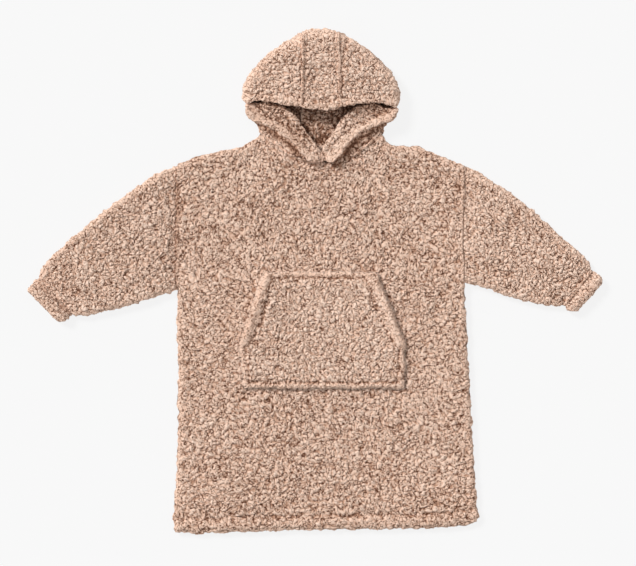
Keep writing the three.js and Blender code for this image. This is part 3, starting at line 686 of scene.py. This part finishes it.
@dataclass
class Panel:
    """One cut panel of the cloth, on its solid's form."""

    node: str
    flat: tuple[float, float]
    area: float
    held: Held = Held.LAID
    rests_on: tuple[str, ...] = ()
    fine: float = 3.0
    rounding: int = 2
    folds: tuple[Fold, ...] = ()
    sewing: tuple[Sewing, ...] = ()
    nudges: tuple[Nudge, ...] = ()
    shades: tuple[Shade, ...] = ()
    hollow: bool = False
    sunk: float = 3.2
    pile: Pile = Pile()
    open_reach: float = 4.0
    margin: int = 2
    # painted light: a factor on the painted daylight that lightens the whole panel's tone
    bloom: float = 1.0

    def rounded(self, solid: bpy.types.Object) -> bmesh.types.BMesh:
        """The solid's wall with its straight facets rounded.

        Args:
            solid: The CAD node, which stays as it is.

        Returns:
            The rounded wall.
        """
        mesh = bmesh.new()
        mesh.from_mesh(solid.data)
        bmesh.ops.remove_doubles(mesh, verts=mesh.verts, dist=WELD)
        bmesh.ops.join_triangles(
            mesh,
            faces=mesh.faces,
            angle_face_threshold=FLAT_ANGLE,
            angle_shape_threshold=SQUARE_ANGLE,
        )
        data = bpy.data.meshes.new(self.node + "_wall")
        mesh.to_mesh(data)
        mesh.free()
        shape = bpy.data.objects.new(self.node + "_wall", data)
        bpy.context.scene.collection.objects.link(shape)
        modifier = shape.modifiers.new("rounding", "SUBSURF")
        modifier.levels = modifier.render_levels = self.rounding
        bpy.context.view_layer.update()
        smooth = bpy.data.meshes.new_from_object(
            shape.evaluated_get(bpy.context.evaluated_depsgraph_get())
        )
        wall = bmesh.new()
        wall.from_mesh(smooth)
        bpy.data.objects.remove(shape)
        bpy.data.meshes.remove(smooth)
        bpy.data.meshes.remove(data)
        return wall

    def mark_open(self, wall: bmesh.types.BMesh, around: Surroundings) -> None:
        """Stores how each vertex lies: open or covered, its wall's thickness, gaps and daylight.

        Args:
            wall: The wall, which gets the layers open, thick, gap and sky.
            around: The other solids.
        """
        wall.normal_update()
        own = BVHTree.FromBMesh(wall)
        layers = {name: wall.verts.layers.float.new(name) for name in LAYERS}
        reach = self.open_reach * MM
        for vertex in wall.verts:
            place, normal = vertex.co, vertex.normal
            to_other = around.distance(place + normal * OTHER_START, normal, reach)
            to_own = own.ray_cast(place + normal * OWN_START, normal, reach)[3]
            under = normal.z < UNDERSIDE_TURN and place.z < UNDERSIDE_TOP
            covered = to_other < reach or to_own is not None or under
            vertex[layers["open"]] = 0.0 if covered else 1.0
            beside = to_other < SEAM_REACH * MM and abs(normal.z) < SEAM_UPRIGHT
            vertex[layers["gap"]] = to_other / MM if beside else 0.0
            through = own.ray_cast(place - normal * INNER_START, -normal, INNER_REACH)[3]
            vertex[layers["thick"]] = THICK_WALL if through is None else through / MM
            vertex[layers["sky"]] = 1.0
            if self.hollow and not covered:
                vertex[layers["sky"]] = self.daylight(place, normal, own, around)
        self.widen(wall, layers)
        self.even_out(wall, [layers[name] for name in ("open", "thick", "sky")])

    def widen(self, wall: bmesh.types.BMesh, layers: dict) -> None:
        """Lets the open part reach a little under what covers the panel, but not into seams.

        Args:
            wall: The wall.
            layers: Its layers by name.
        """
        opened = layers["open"]
        for _ in range(self.margin):
            found = [
                v
                for v in wall.verts
                if v[opened] < HALF_OPEN
                and v[layers["gap"]] == 0.0
                and (v.normal.z > UNDERSIDE_TURN or v.co.z > UNDERSIDE_TOP)
                and any(e.other_vert(v)[opened] > HALF_OPEN for e in v.link_edges)
            ]
            for vertex in found:
                vertex[opened] = 1.0

    def daylight(
        self, place: Vector, normal: Vector, own: BVHTree, around: Surroundings
    ) -> float:
        """The share of the sky that a place sees past the garment.

        Args:
            place: The place on the cloth.
            normal: The cloth's normal there.
            own: The panel's own wall.
            around: The other solids.

        Returns:
            A share from 0 to 1.
        """
        start = place + normal * SKY_START
        seen = 0.0
        total = 0.0
        for way in SKY:
            facing = max(way.dot(normal), 0.0)
            if facing == 0.0:
                continue
            total += facing
            if own.ray_cast(start, way, SKY_REACH)[3] is not None:
                continue
            if around.distance(start, way, SKY_REACH) < SKY_REACH:
                continue
            seen += facing
        return seen / total if total > 0.0 else 1.0

    def even_out(self, wall: bmesh.types.BMesh, layers: list) -> None:
        """Lets values flow into their neighbours, so that they change softly over the wall.

        Args:
            wall: The wall.
            layers: Those of its layers that hold the values.
        """
        for _ in range(EVENING_ROUNDS):
            for layer in layers:
                means = [
                    sum(e.other_vert(v)[layer] for e in v.link_edges) / len(v.link_edges)
                    for v in wall.verts
                ]
                for vertex, mean in zip(wall.verts, means):
                    vertex[layer] = 0.5 * (vertex[layer] + mean)

    def refine(self, wall: bmesh.types.BMesh) -> None:
        """Cuts long edges in half where the cloth shows or is sewn, until none is over fine.

        Args:
            wall: The wall.
        """
        opened = wall.verts.layers.float["open"]
        gap = wall.verts.layers.float["gap"]
        for _ in range(HALVINGS):
            long = [
                edge
                for edge in wall.edges
                if edge.calc_length() > self.fine * MM
                and (
                    max(vertex[opened] for vertex in edge.verts) > SHOWING
                    or min(vertex[gap] for vertex in edge.verts) > 0.0
                )
            ]
            if not long:
                return
            bmesh.ops.subdivide_edges(
                wall, edges=long, cuts=1, use_grid_fill=True, use_single_edge=True
            )

    def press(self, data: bpy.types.Mesh) -> None:
        """Presses the folds and the sewing into the wall and raises the pile.

        Args:
            data: The refined wall, which gets the attributes pile, sewn, daylight and calm.
        """
        rest = values_of(data.vertices, "co", 3) / MM - GARMENT_MIDDLE
        normal = values_of(data.vertex_normals, "vector", 3)
        layer = {name: values_of(data.attributes[name].data, "value") for name in LAYERS}
        facing = normal[:, 2]
        opened = eased(layer["open"] * OPEN_GAIN)
        hold = self.hold(rest) * np.clip(facing * HOLD_GAIN, 0.0, 1.0)
        calm = np.maximum(self.calm(rest), EDGE_CALM * self.edge(facing))
        height = self.pile.height(rest)
        height += CALM_SHARE * calm * (CALM_HEIGHT - height)

        stand = self.pile.proud * height - self.pile.depth * (1.0 - height)
        stand *= 1.0 - SEWN_SHARE * hold
        sink = np.maximum(stand, -DEEPEST_SHARE * layer["thick"])
        move = opened * (sink - hold * self.sunk) + (1.0 - opened) * self.closing(layer["gap"])
        cloth = rest + normal * move[:, None] + self.pile.swaying(rest)
        lift = self.lift(rest) * eased(facing * LIFT_GAIN + LIFT_START) * opened
        cloth[:, 2] += lift + self.filling(layer["gap"], height, rest[:, 2])
        for nudge in self.nudges:
            cloth += nudge.at(cloth)
        place = (cloth + GARMENT_MIDDLE) * MM
        place[:, 2] = np.maximum(place[:, 2], 0.0)
        data.vertices.foreach_set("co", place.ravel())

        # Painted shade: pile darkens crevices and covered cloth; daylight holds sky share, shades
        # and bloom
        under = eased((-facing - UNDER_START) / UNDER_FADE)
        lit = np.maximum(np.maximum(opened, layer["gap"] > 0.0), under)
        shown = {
            "pile": height * (COVERED_TONE + OPEN_TONE * lit),
            "sewn": hold,
            "daylight": layer["sky"] * (1.0 - self.shade(rest)) * self.bloom,
            "calm": calm,
        }
        for name, values in shown.items():
            made = data.attributes.new(name, "FLOAT", "POINT")
            made.data.foreach_set("value", values.astype(np.float32))
        for name in LAYERS:
            data.attributes.remove(data.attributes[name])

    def edge(self, facing: np.ndarray) -> np.ndarray:
        """Where the cloth rolls over at an edge, by how far it faces up."""
        over = eased((EDGE_TOP - facing) / EDGE_TOP_FADE)
        return over * eased((facing + EDGE_FOOT) / EDGE_FOOT_FADE)

    def closing(self, gap: np.ndarray) -> np.ndarray:
        """How far the side of a seam moves out, so that both sides meet."""
        return np.where(gap > 0.0, SEAM_MEETING * gap + SEAM_OVERLAP, 0.0)

    def filling(self, gap: np.ndarray, height: np.ndarray, level: np.ndarray) -> np.ndarray:
        """How far the pile fills the groove over a seam."""
        stand = SEAM_FILL * (GROOVE_LOW + GROOVE_MORE * height)
        return np.where(gap > 0.0, stand * eased((level - GROOVE_LEVEL) / GROOVE_FADE), 0.0)

    def lift(self, cloth: np.ndarray) -> np.ndarray:
        """What the smaller folds add to the height."""
        return sum((fold.at(cloth) for fold in self.folds), np.zeros(len(cloth)))

    def calm(self, cloth: np.ndarray) -> np.ndarray:
        """How even the pile lies, from 0 on open cloth to 1 on a turned hem."""
        hems = (fold for fold in self.folds if fold.calm > 0.0)
        return strongest((hem.calming(cloth) for hem in hems), len(cloth))

    def shade(self, cloth: np.ndarray) -> np.ndarray:
        """How much light each place loses, from 0 to 1."""
        return strongest((shade.at(cloth) for shade in self.shades), len(cloth))

    def hold(self, cloth: np.ndarray) -> np.ndarray:
        """How firmly sewing holds each place down, from 0 to 1."""
        return strongest((line.at(cloth) for line in self.sewing), len(cloth))

    def build(
        self, solid: bpy.types.Object, around: Surroundings, finish: bpy.types.Material
    ) -> bpy.types.Object:
        """Args:
            solid: The CAD node that it stands for.
            around: The other solids.
            finish: The cloth's material.

        Returns:
            The finished panel.
        """
        wall = self.rounded(solid)
        self.mark_open(wall, around)
        self.refine(wall)
        data = bpy.data.meshes.new(self.node + "_cloth")
        wall.to_mesh(data)
        wall.free()
        self.press(data)
        data.shade_smooth()
        data.materials.append(finish)
        panel = bpy.data.objects.new(self.node + "_sherpa", data)
        bpy.context.scene.collection.objects.link(panel)
        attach(panel, "root")
        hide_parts(self.node)
        held, rests_on = self.held.value, list(self.rests_on)
        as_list(rests_on)
        return panel


# The garment


def mirrored(run: Run) -> Run:
    """The same run on the garment's other side."""
    return tuple((-x, y) for x, y in run)


def rolled(run: Run) -> Fold:
    """The even pile along a rolled edge of the outline."""
    return Fold(run, 8.0, 0.0, blunt=1.0, calm=0.55)


SHOULDERS = (
    Nudge((265.0, 679.0, 9.0), 7.0, (0.8, 3.4, 0.0)),
    Nudge((-264.0, 681.0, 9.0), 7.0, (-0.8, 3.4, 0.0)),
)
ARMHOLE: Run = ((263, 645), (264, 570), (266, 492), (266, 455))
LEFT_ARMHOLE_TOP: Run = ((261, 668), (256, 655), (254, 628), (253, 608))
ARMHOLE_FILL = Fold(ARMHOLE, 6.0, 1.8, blunt=1.0)
RIGHT_ARMHOLE_SEAM = Sewing(mirrored(ARMHOLE), strength=0.85)


@dataclass
class Body:
    """The front and the back, which are cut alike but for the neck."""

    flat: tuple[float, float] = (0.566, 0.745)
    hem_line: Run = (
        (-272, 28), (-241, 25.5), (-204, 27), (-121, 30), (0, 33), (200, 35), (239, 39), (290, 48),
    )
    folds: tuple[Fold, ...] = (
        Fold(((-150, 610), (-60, 655)), 16, 1.2),
        Fold(((60, 640), (130, 600), (170, 545)), 18, 1.4),
        Fold(((-225, 420), (-170, 330)), 20, 1.3),
        Fold(((-240, 260), (-215, 150), (-228, 60)), 18, -1.4),
        Fold(((-90, 215), (-40, 120), (-60, 60)), 22, 1.2),
        Fold(((150, 250), (235, 160)), 20, 1.3),
        Fold(((225, 420), (200, 330), (235, 240)), 20, -1.4),
        Fold(((30, 60), (140, 48)), 14, 1.2),
        Fold(((-30, 560), (60, 520)), 24, -1.1),
        Fold(((-120, 560), (-165, 510)), 18, -1.3),
        Fold(((-262, 13), (-204, 14), (0, 20), (200, 22), (280, 35)), 9, 1.2, blunt=1.0, calm=0.3),
        ARMHOLE_FILL,
        rolled(((-273, 5), (-274, 30), (-268, 75), (-263, 246), (-266, 350), (-268, 440))),
        rolled(((283, 14), (291, 36), (286, 75), (277, 246), (269, 394), (266, 450))),
        rolled(((-264, 680), (-198, 704), (-132, 719))),
        rolled(((132, 715), (191, 710), (265, 678))),
    )
    shades: tuple[Shade, ...] = (
        Shade(((22, 674), (50, 697), (90, 726)), 8.0, 0.45),
        Shade(((-120, 716), (-70, 682)), 12.0, 0.12),
        Shade(((110, 690), (190, 668)), 14.0, 0.10),
        Shade(((-262, 640), (-258, 600)), 12.0, 0.15),
        Shade(((150, 120), (230, 60)), 30.0, 0.06),
    )

    def panels(self) -> list[Panel]:
        """Cuts the body.

        Returns:
            The back and the front.
        """
        sewing = (
            Sewing(self.hem_line, strength=0.6),
            Sewing(LEFT_ARMHOLE_TOP, width=2.6, strength=0.7),
            RIGHT_ARMHOLE_SEAM,
        )
        return [
            Panel("back", self.flat, 0.386, fine=6.0, rounding=1, nudges=SHOULDERS),
            Panel(
                "front", self.flat, 0.381, rests_on=("back",), fine=2.95, rounding=1,
                folds=self.folds, sewing=sewing, nudges=SHOULDERS, shades=self.shades,
            ),
        ]


@dataclass
class Sleeves:
    """The sleeves and their cuffs."""

    right_cuff: Fold = Fold(((-537, 457), (-475, 391)), 10.0, 1.4, blunt=1.0, calm=0.4)
    right_cuff_seam: Sewing = Sewing(((-525, 471), (-493, 437), (-461, 402)), strength=0.75)
    left_cuff: Fold = Fold(((516, 473), (459, 409)), 10.0, 1.2, blunt=1.0, calm=0.4)
    left_cuff_seam: Sewing = Sewing(((502, 488), (475, 454), (448, 420)), strength=0.6)
    left_folds: tuple[Fold, ...] = (
        Fold(((300, 560), (352, 590)), 11, 1.5),
        Fold(((330, 470), (400, 455)), 9, 1.4),
        Fold(((395, 560), (440, 520)), 12, -1.3),
        Fold(((430, 500), (478, 478)), 8, 1.5),
        Fold(((275, 600), (282, 520)), 9, -1.2),
        ARMHOLE_FILL,
        rolled(((265, 677), (320, 649), (411, 579), (461, 535), (494, 502))),
        rolled(((263, 461), (322, 445), (383, 426), (434, 419))),
    )
    right_folds: tuple[Fold, ...] = (
        Fold(((-300, 520), (-352, 470)), 12, 1.5),
        Fold(((-330, 590), (-400, 555)), 14, -1.3),
        Fold(((-420, 500), (-470, 470)), 10, 1.6),
        Fold(((-285, 560), (-292, 480)), 10, 1.2),
        Fold(((-480, 500), (-505, 470)), 7, -1.2),
        rolled(((-264, 680), (-329, 649), (-416, 583), (-470, 538), (-514, 495), (-524, 470))),
        rolled(((-264, 448), (-340, 424), (-407, 406), (-452, 401))),
    )
    left_shades: tuple[Shade, ...] = (
        Shade(((272, 504), (348, 481)), 10.0, 0.17),
        Shade(((398, 494), (449, 462)), 9.0, 0.17),
    )
    right_shades: tuple[Shade, ...] = (
        Shade(((-480, 486), (-458, 462)), 14.0, 0.15),
        Shade(((-272, 640), (-268, 600)), 12.0, 0.18),
    )

    def panels(self) -> list[Panel]:
        """Cuts the sleeves.

        Returns:
            Both sleeves and both cuffs.
        """
        sleeves = [
            Panel(
                "sleeve_left", (0.47, 0.24), 0.077, Held.FOLDED, fine=2.3, bloom=1.15,
                folds=self.left_folds, shades=self.left_shades, nudges=SHOULDERS,
                sewing=(self.left_cuff_seam,),
            ),
            Panel(
                "sleeve_right", (0.47, 0.27), 0.09, Held.FOLDED, fine=2.3, bloom=1.1,
                folds=self.right_folds, shades=self.right_shades, nudges=SHOULDERS,
                sewing=(RIGHT_ARMHOLE_SEAM, self.right_cuff_seam),
            ),
        ]
        cuffs = [
            Panel(
                name, flat, area, Held.FOLDED, fine=2.2, folds=(edge,), sewing=(seam,),
                bloom=bloom,
            )
            for name, flat, area, edge, seam, bloom in (
                ("cuff_left", (0.18, 0.04), 0.006, self.left_cuff, self.left_cuff_seam, 1.12),
                ("cuff_right", (0.19, 0.04), 0.0063, self.right_cuff, self.right_cuff_seam, 1.1),
            )
        ]
        return sleeves + cuffs


@dataclass
class Hood:
    """The hood's centre strip and its two sides, whose face edge has a turned hem."""

    rim: Run = (
        (19, 683), (30.5, 691), (39.4, 701), (46.2, 712), (58.3, 724), (74, 735), (91.6, 744.5),
        (110, 754), (126, 765), (135.5, 776), (139, 786),
    )
    rim_sewing: Run = (
        (8, 700), (19, 709), (27, 721), (40, 735), (58, 748.5), (79, 759), (99, 769), (114, 779),
        (121, 789),
    )
    under_rim: Run = (
        (22, 680), (34, 688), (43, 697.5), (50, 708), (62, 720), (77, 731), (94, 740), (112, 750),
        (128, 761),
    )
    cast_shade: Run = ((50, 700), (92, 730), (126, 752))
    brow: Run = ((30, 786), (53, 790), (80, 793), (104, 797), (128, 801))
    brow_sewing: Run = ((34, 801), (60, 805), (90, 809), (118, 813), (134, 816))
    middle_brow: Run = ((-34, 783), (-15, 780), (0, 779), (15, 780), (34, 783))
    middle_sewing: Run = ((-36, 800), (-12, 797), (12, 797), (36, 800))
    right_strip_seam: Run = ((-33, 925), (-34, 850), (-34, 786))
    left_strip_seam: Run = (
        (48, 918), (48, 895), (42, 881), (41, 851), (35, 814), (32, 786),
    )
    left_strip_ridge: Run = ((54, 908), (53, 890), (48, 876), (47, 850), (41, 816))
    cavity: tuple[Shade, ...] = (
        Shade(((-4, 724), (-5, 706)), 13.0, 0.5, below=12.0),
        Shade(((-62, 790), (-34, 750), (-4, 702)), 13.0, 0.4, below=12.0),
        Shade(((58, 790), (32, 750), (4, 702)), 13.0, 0.4, below=12.0),
    )
    crown: Run = (
        (140, 805), (140, 819), (133, 837), (110, 867), (74, 897), (32, 922), (0, 927), (-32, 922),
        (-74, 897), (-110, 867), (-133, 837), (-140, 819), (-140, 805),
    )
    # painted light: lightens the hood's whole tone through its painted daylight
    bloom: float = 1.16
    rim_level: float = 14.0
    brow_level: float = 22.0
    brow_sewing_level: float = 26.0

    def strip_seam(self, run: Run) -> Sewing:
        """The seam on one side of the centre strip."""
        return Sewing(run, above=self.brow_level, strength=0.75)

    def side_folds(self, turned: bool) -> tuple[Fold, ...]:
        """The turned hems along a side's face edge, and the left side's ridge at the strip.

        Args:
            turned: True for the wearer's right side.

        Returns:
            The ridges, and the even pile along the crown.
        """
        way = mirrored if turned else tuple
        ridge = Fold(self.left_strip_ridge, 4.5, 1.8, self.brow_level, blunt=0.6)
        return (
            Fold(way(self.rim), 11.0, 6.5, self.rim_level, blunt=0.6, calm=0.8),
            Fold(way(self.brow), 9.0, 3.2, self.brow_level, blunt=1.0, calm=0.5),
            *(() if turned else (ridge,)),
            rolled(self.crown),
        )

    def side(self, name: str, turned: bool, nudges: tuple[Nudge, ...], inner: Shade) -> Panel:
        """One side of the hood.

        Args:
            name: The side's node.
            turned: True for the wearer's right side.
            nudges: What brings its corner under the brow.
            inner: The shade on the inner pile behind the face edge's hem.

        Returns:
            The panel.
        """
        way = mirrored if turned else tuple
        sewing = (
            Sewing(way(self.rim_sewing), above=self.rim_level, strength=0.45),
            Sewing(way(self.brow_sewing), above=self.brow_sewing_level, strength=0.4),
            self.strip_seam(self.right_strip_seam if turned else self.left_strip_seam),
        )
        shades = (
            Shade(way(self.under_rim), 6.0, 0.8, below=21.0),
            Shade(self.cast_shade, 12.0, 0.5, below=23.0),
            inner,
            *self.cavity,
        )
        return Panel(
            name, (0.24, 0.36), 0.045, Held.FOLDED, fine=2.2, hollow=True, bloom=self.bloom,
            folds=self.side_folds(turned), sewing=sewing, nudges=nudges, shades=shades,
        )

    def panels(self) -> list[Panel]:
        """Cuts the hood.

        Returns:
            The strip and both sides.
        """
        strip = Panel(
            "hood_centre", (0.08, 0.40), 0.028, Held.FOLDED, fine=2.2, hollow=True,
            bloom=self.bloom, shades=self.cavity,
            folds=(
                Fold(self.middle_brow, 9.0, 3.2, self.brow_level, blunt=1.0, calm=0.5),
                Fold(((-8, 864), (-13, 818)), 9.0, -2.2, self.brow_level),
                rolled(self.crown),
            ),
            sewing=(
                Sewing(self.middle_sewing, above=self.brow_sewing_level, strength=0.4),
                self.strip_seam(self.right_strip_seam),
                self.strip_seam(self.left_strip_seam),
            ),
        )
        right = (
            Nudge((-130.0, 787.0, 18.0), 13.0, (-2.0, 8.0, 2.0)),
            Nudge((-128.0, 772.0, 18.0), 15.0, (-7.0, -1.0, 0.0)),
            Nudge((-138.0, 815.0, 20.0), 30.0, (-2.5, 0.0, 0.0)),
            Nudge((-138.0, 806.0, 37.0), 13.0, (0.0, -14.0, 0.0)),
        )
        left = (
            Nudge((130.0, 787.0, 18.0), 13.0, (4.0, 4.0, 2.0)),
            Nudge((124.0, 800.0, 30.0), 17.0, (0.0, -9.0, 0.0)),
            Nudge((128.0, 766.0, 18.0), 16.0, (9.0, -4.0, 0.0)),
            Nudge((138.0, 815.0, 20.0), 30.0, (2.5, 0.0, 0.0)),
            Nudge((137.0, 801.0, 37.0), 13.0, (0.0, -14.0, 0.0)),
        )
        left_inner = Shade(((92, 786), (118, 778)), 13.0, 0.4, above=12.0)
        right_inner = Shade(((-112, 788), (-62, 758), (-36, 730)), 15.0, 0.42, above=12.0)
        return [
            strip,
            self.side("hood_left", False, left, left_inner),
            self.side("hood_right", True, right, right_inner),
        ]


@dataclass
class Pocket:
    """The kangaroo pocket, with a thick turned hem along each slanted opening."""

    left_opening: Run = ((151, 353), (137, 384), (115, 440), (96, 478))
    right_opening: Run = ((-146, 353), (-132, 384), (-114, 440), (-99, 478))
    left_sewing: Run = ((138, 346), (122, 370), (112, 392), (97, 426), (88, 453), (83, 473))
    right_sewing: Run = ((-135, 346), (-119, 370), (-109, 392), (-99, 429), (-93, 460), (-91, 474))
    hem_width: float = 9.0
    hem_rise: float = 4.0
    edge_width: float = 4.5
    edge_rise: float = 0.8
    edge_sewing: Run = ((-139, 346), (-133, 278.5), (142, 278.5), (144, 346))
    top_sewing: Run = ((-93, 472.5), (85, 472.5))
    edge_line: Run = ((-147, 340), (-138, 272), (148, 272), (151, 340))
    top_line: Run = ((-100, 479), (98, 479))
    folds: tuple[Fold, ...] = (
        Fold(((-80, 372), (-55, 366)), 16, -2.0),
        Fold(((90, 345), (108, 338)), 16, -2.0),
        Fold(((-128, 300), (-118, 292)), 13, 1.6),
        Fold(((-30, 330), (50, 300)), 20, 1.0),
        Fold(((20, 440), (60, 400)), 18, -1.0),
    )

    def panels(self) -> list[Panel]:
        """Cuts the pocket.

        Returns:
            Its one panel.
        """
        hems = tuple(
            Fold(run, width, rise, blunt=1.0, calm=calm)
            for run, width, rise, calm in (
                (self.left_opening, self.hem_width, self.hem_rise, 0.7),
                (self.right_opening, self.hem_width, self.hem_rise, 0.7),
                (self.edge_line, self.edge_width, self.edge_rise, 0.5),
                (self.top_line, self.edge_width, self.edge_rise, 0.5),
            )
        )
        sewing = tuple(
            Sewing(run, width=2.6)
            for run in (self.left_sewing, self.right_sewing, self.edge_sewing, self.top_sewing)
        )
        return [
            Panel(
                "pocket", (0.305, 0.215), 0.06, rests_on=("front",), fine=2.2, bloom=1.17,
                folds=self.folds + hems, sewing=sewing,
            )
        ]


@dataclass
class Garment:
    """The whole sweatshirt."""

    parts: tuple[Body | Sleeves | Hood | Pocket, ...] = (Body(), Sleeves(), Hood(), Pocket())
    finish: SherpaFinish = SherpaFinish()

    def build(self, nodes: dict[str, bpy.types.Object]) -> Iterator[bpy.types.Object]:
        """Makes every panel.

        Args:
            nodes: The CAD nodes by name.

        Yields:
            Each panel, once it is made.
        """
        cloth = self.finish.material()
        for part in self.parts:
            for panel in part.panels():
                around = Surroundings(nodes, panel.node)
                yield panel.build(nodes[panel.node], around, cloth)


# The studio


@dataclass
class Studio:
    """The pale surface, the soft light and the camera straight above."""

    floor_size: float = 30.0
    floor_drop: float = 0.4 * MM
    floor_colour: tuple[float, float, float] = (0.10, 0.10, 0.10)
    floor_roughness: float = 0.9
    floor_glow: float = 0.835
    key_way: tuple[float, float, float] = (-0.62, 0.52, 0.62)
    key_spread: float = 16.0
    key_power: float = 2.58
    glow: float = 0.55
    camera_place: tuple[float, float, float] = (5.2 * MM, -3.1 * MM, 5.0)
    camera_reach: float = 60.0
    sensor: float = 36.0

    def floor(self) -> None:
        """Lays the pale surface just under the garment."""
        mesh = bmesh.new()
        bmesh.ops.create_grid(mesh, x_segments=1, y_segments=1, size=self.floor_size / 2)
        bmesh.ops.translate(mesh, verts=mesh.verts, vec=(0.0, 0.0, -self.floor_drop))
        data = bpy.data.meshes.new("floor")
        mesh.to_mesh(data)
        mesh.free()
        make = Shading("pale_floor")
        surface = make.add(
            "BsdfPrincipled",
            values={
                "Base Color": (*self.floor_colour, 1.0),
                "Roughness": self.floor_roughness,
                "Specular IOR Level": 0.0,
                "Emission Color": (1.0, 1.0, 1.0, 1.0),
                "Emission Strength": self.floor_glow,
            },
            out="BSDF",
        )
        data.materials.append(make.finish(surface))
        floor = bpy.data.objects.new("floor", data)
        bpy.context.scene.collection.objects.link(floor)

    def sun(self, name: str, way: tuple[float, float, float], spread: float, power: float) -> None:
        """Sets an even light from far off.

        Args:
            name: The light's name.
            way: The direction that it comes from.
            spread: How wide it looks, in degrees, which softens its shadows.
            power: Its strength, in watts on a square metre.
        """
        data = bpy.data.lights.new(name, "SUN")
        data.angle = math.radians(spread)
        data.energy = power
        lamp = bpy.data.objects.new(name, data)
        lamp.rotation_mode = "QUATERNION"
        lamp.rotation_quaternion = (-Vector(way)).to_track_quat("-Z", "Y")
        bpy.context.scene.collection.objects.link(lamp)

    def lights(self) -> None:
        """Hangs the lights and sets the air's own glow."""
        self.sun("key", self.key_way, self.key_spread, self.key_power)
        world = bpy.data.worlds.new("studio")
        world.use_nodes = True
        sky = world.node_tree.nodes["Background"]
        sky.inputs["Color"].default_value = (1.0, 1.0, 1.0, 1.0)
        sky.inputs["Strength"].default_value = self.glow
        bpy.context.scene.world = world
        bpy.context.scene.view_settings.view_transform = "Standard"

    def camera(self) -> None:
        """Sets the camera straight above, with the picture's frame."""
        width = PICTURE_WIDTH * MM_PER_PIXEL * MM
        data = bpy.data.cameras.new("camera")
        data.sensor_width = self.sensor
        data.lens = self.sensor * self.camera_place[2] / width
        data.clip_end = self.camera_reach
        camera = bpy.data.objects.new("camera", data)
        camera.location = self.camera_place
        bpy.context.scene.collection.objects.link(camera)
        bpy.context.scene.camera = camera

    def build(self) -> None:
        """Builds the whole studio."""
        self.floor()
        self.lights()
        self.camera()


def main() -> None:
    """Builds the studio and the garment, and reports each panel's triangles."""
    logging.basicConfig(level=logging.INFO, format="%(name)s: %(message)s")
    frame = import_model()
    Studio().build()
    for panel in Garment().build(frame["nodes"]):
        panel.data.calc_loop_triangles()
        LOG.info("%s: %d triangles", panel.name, len(panel.data.loop_triangles))


if __name__ == "__main__":
    main()
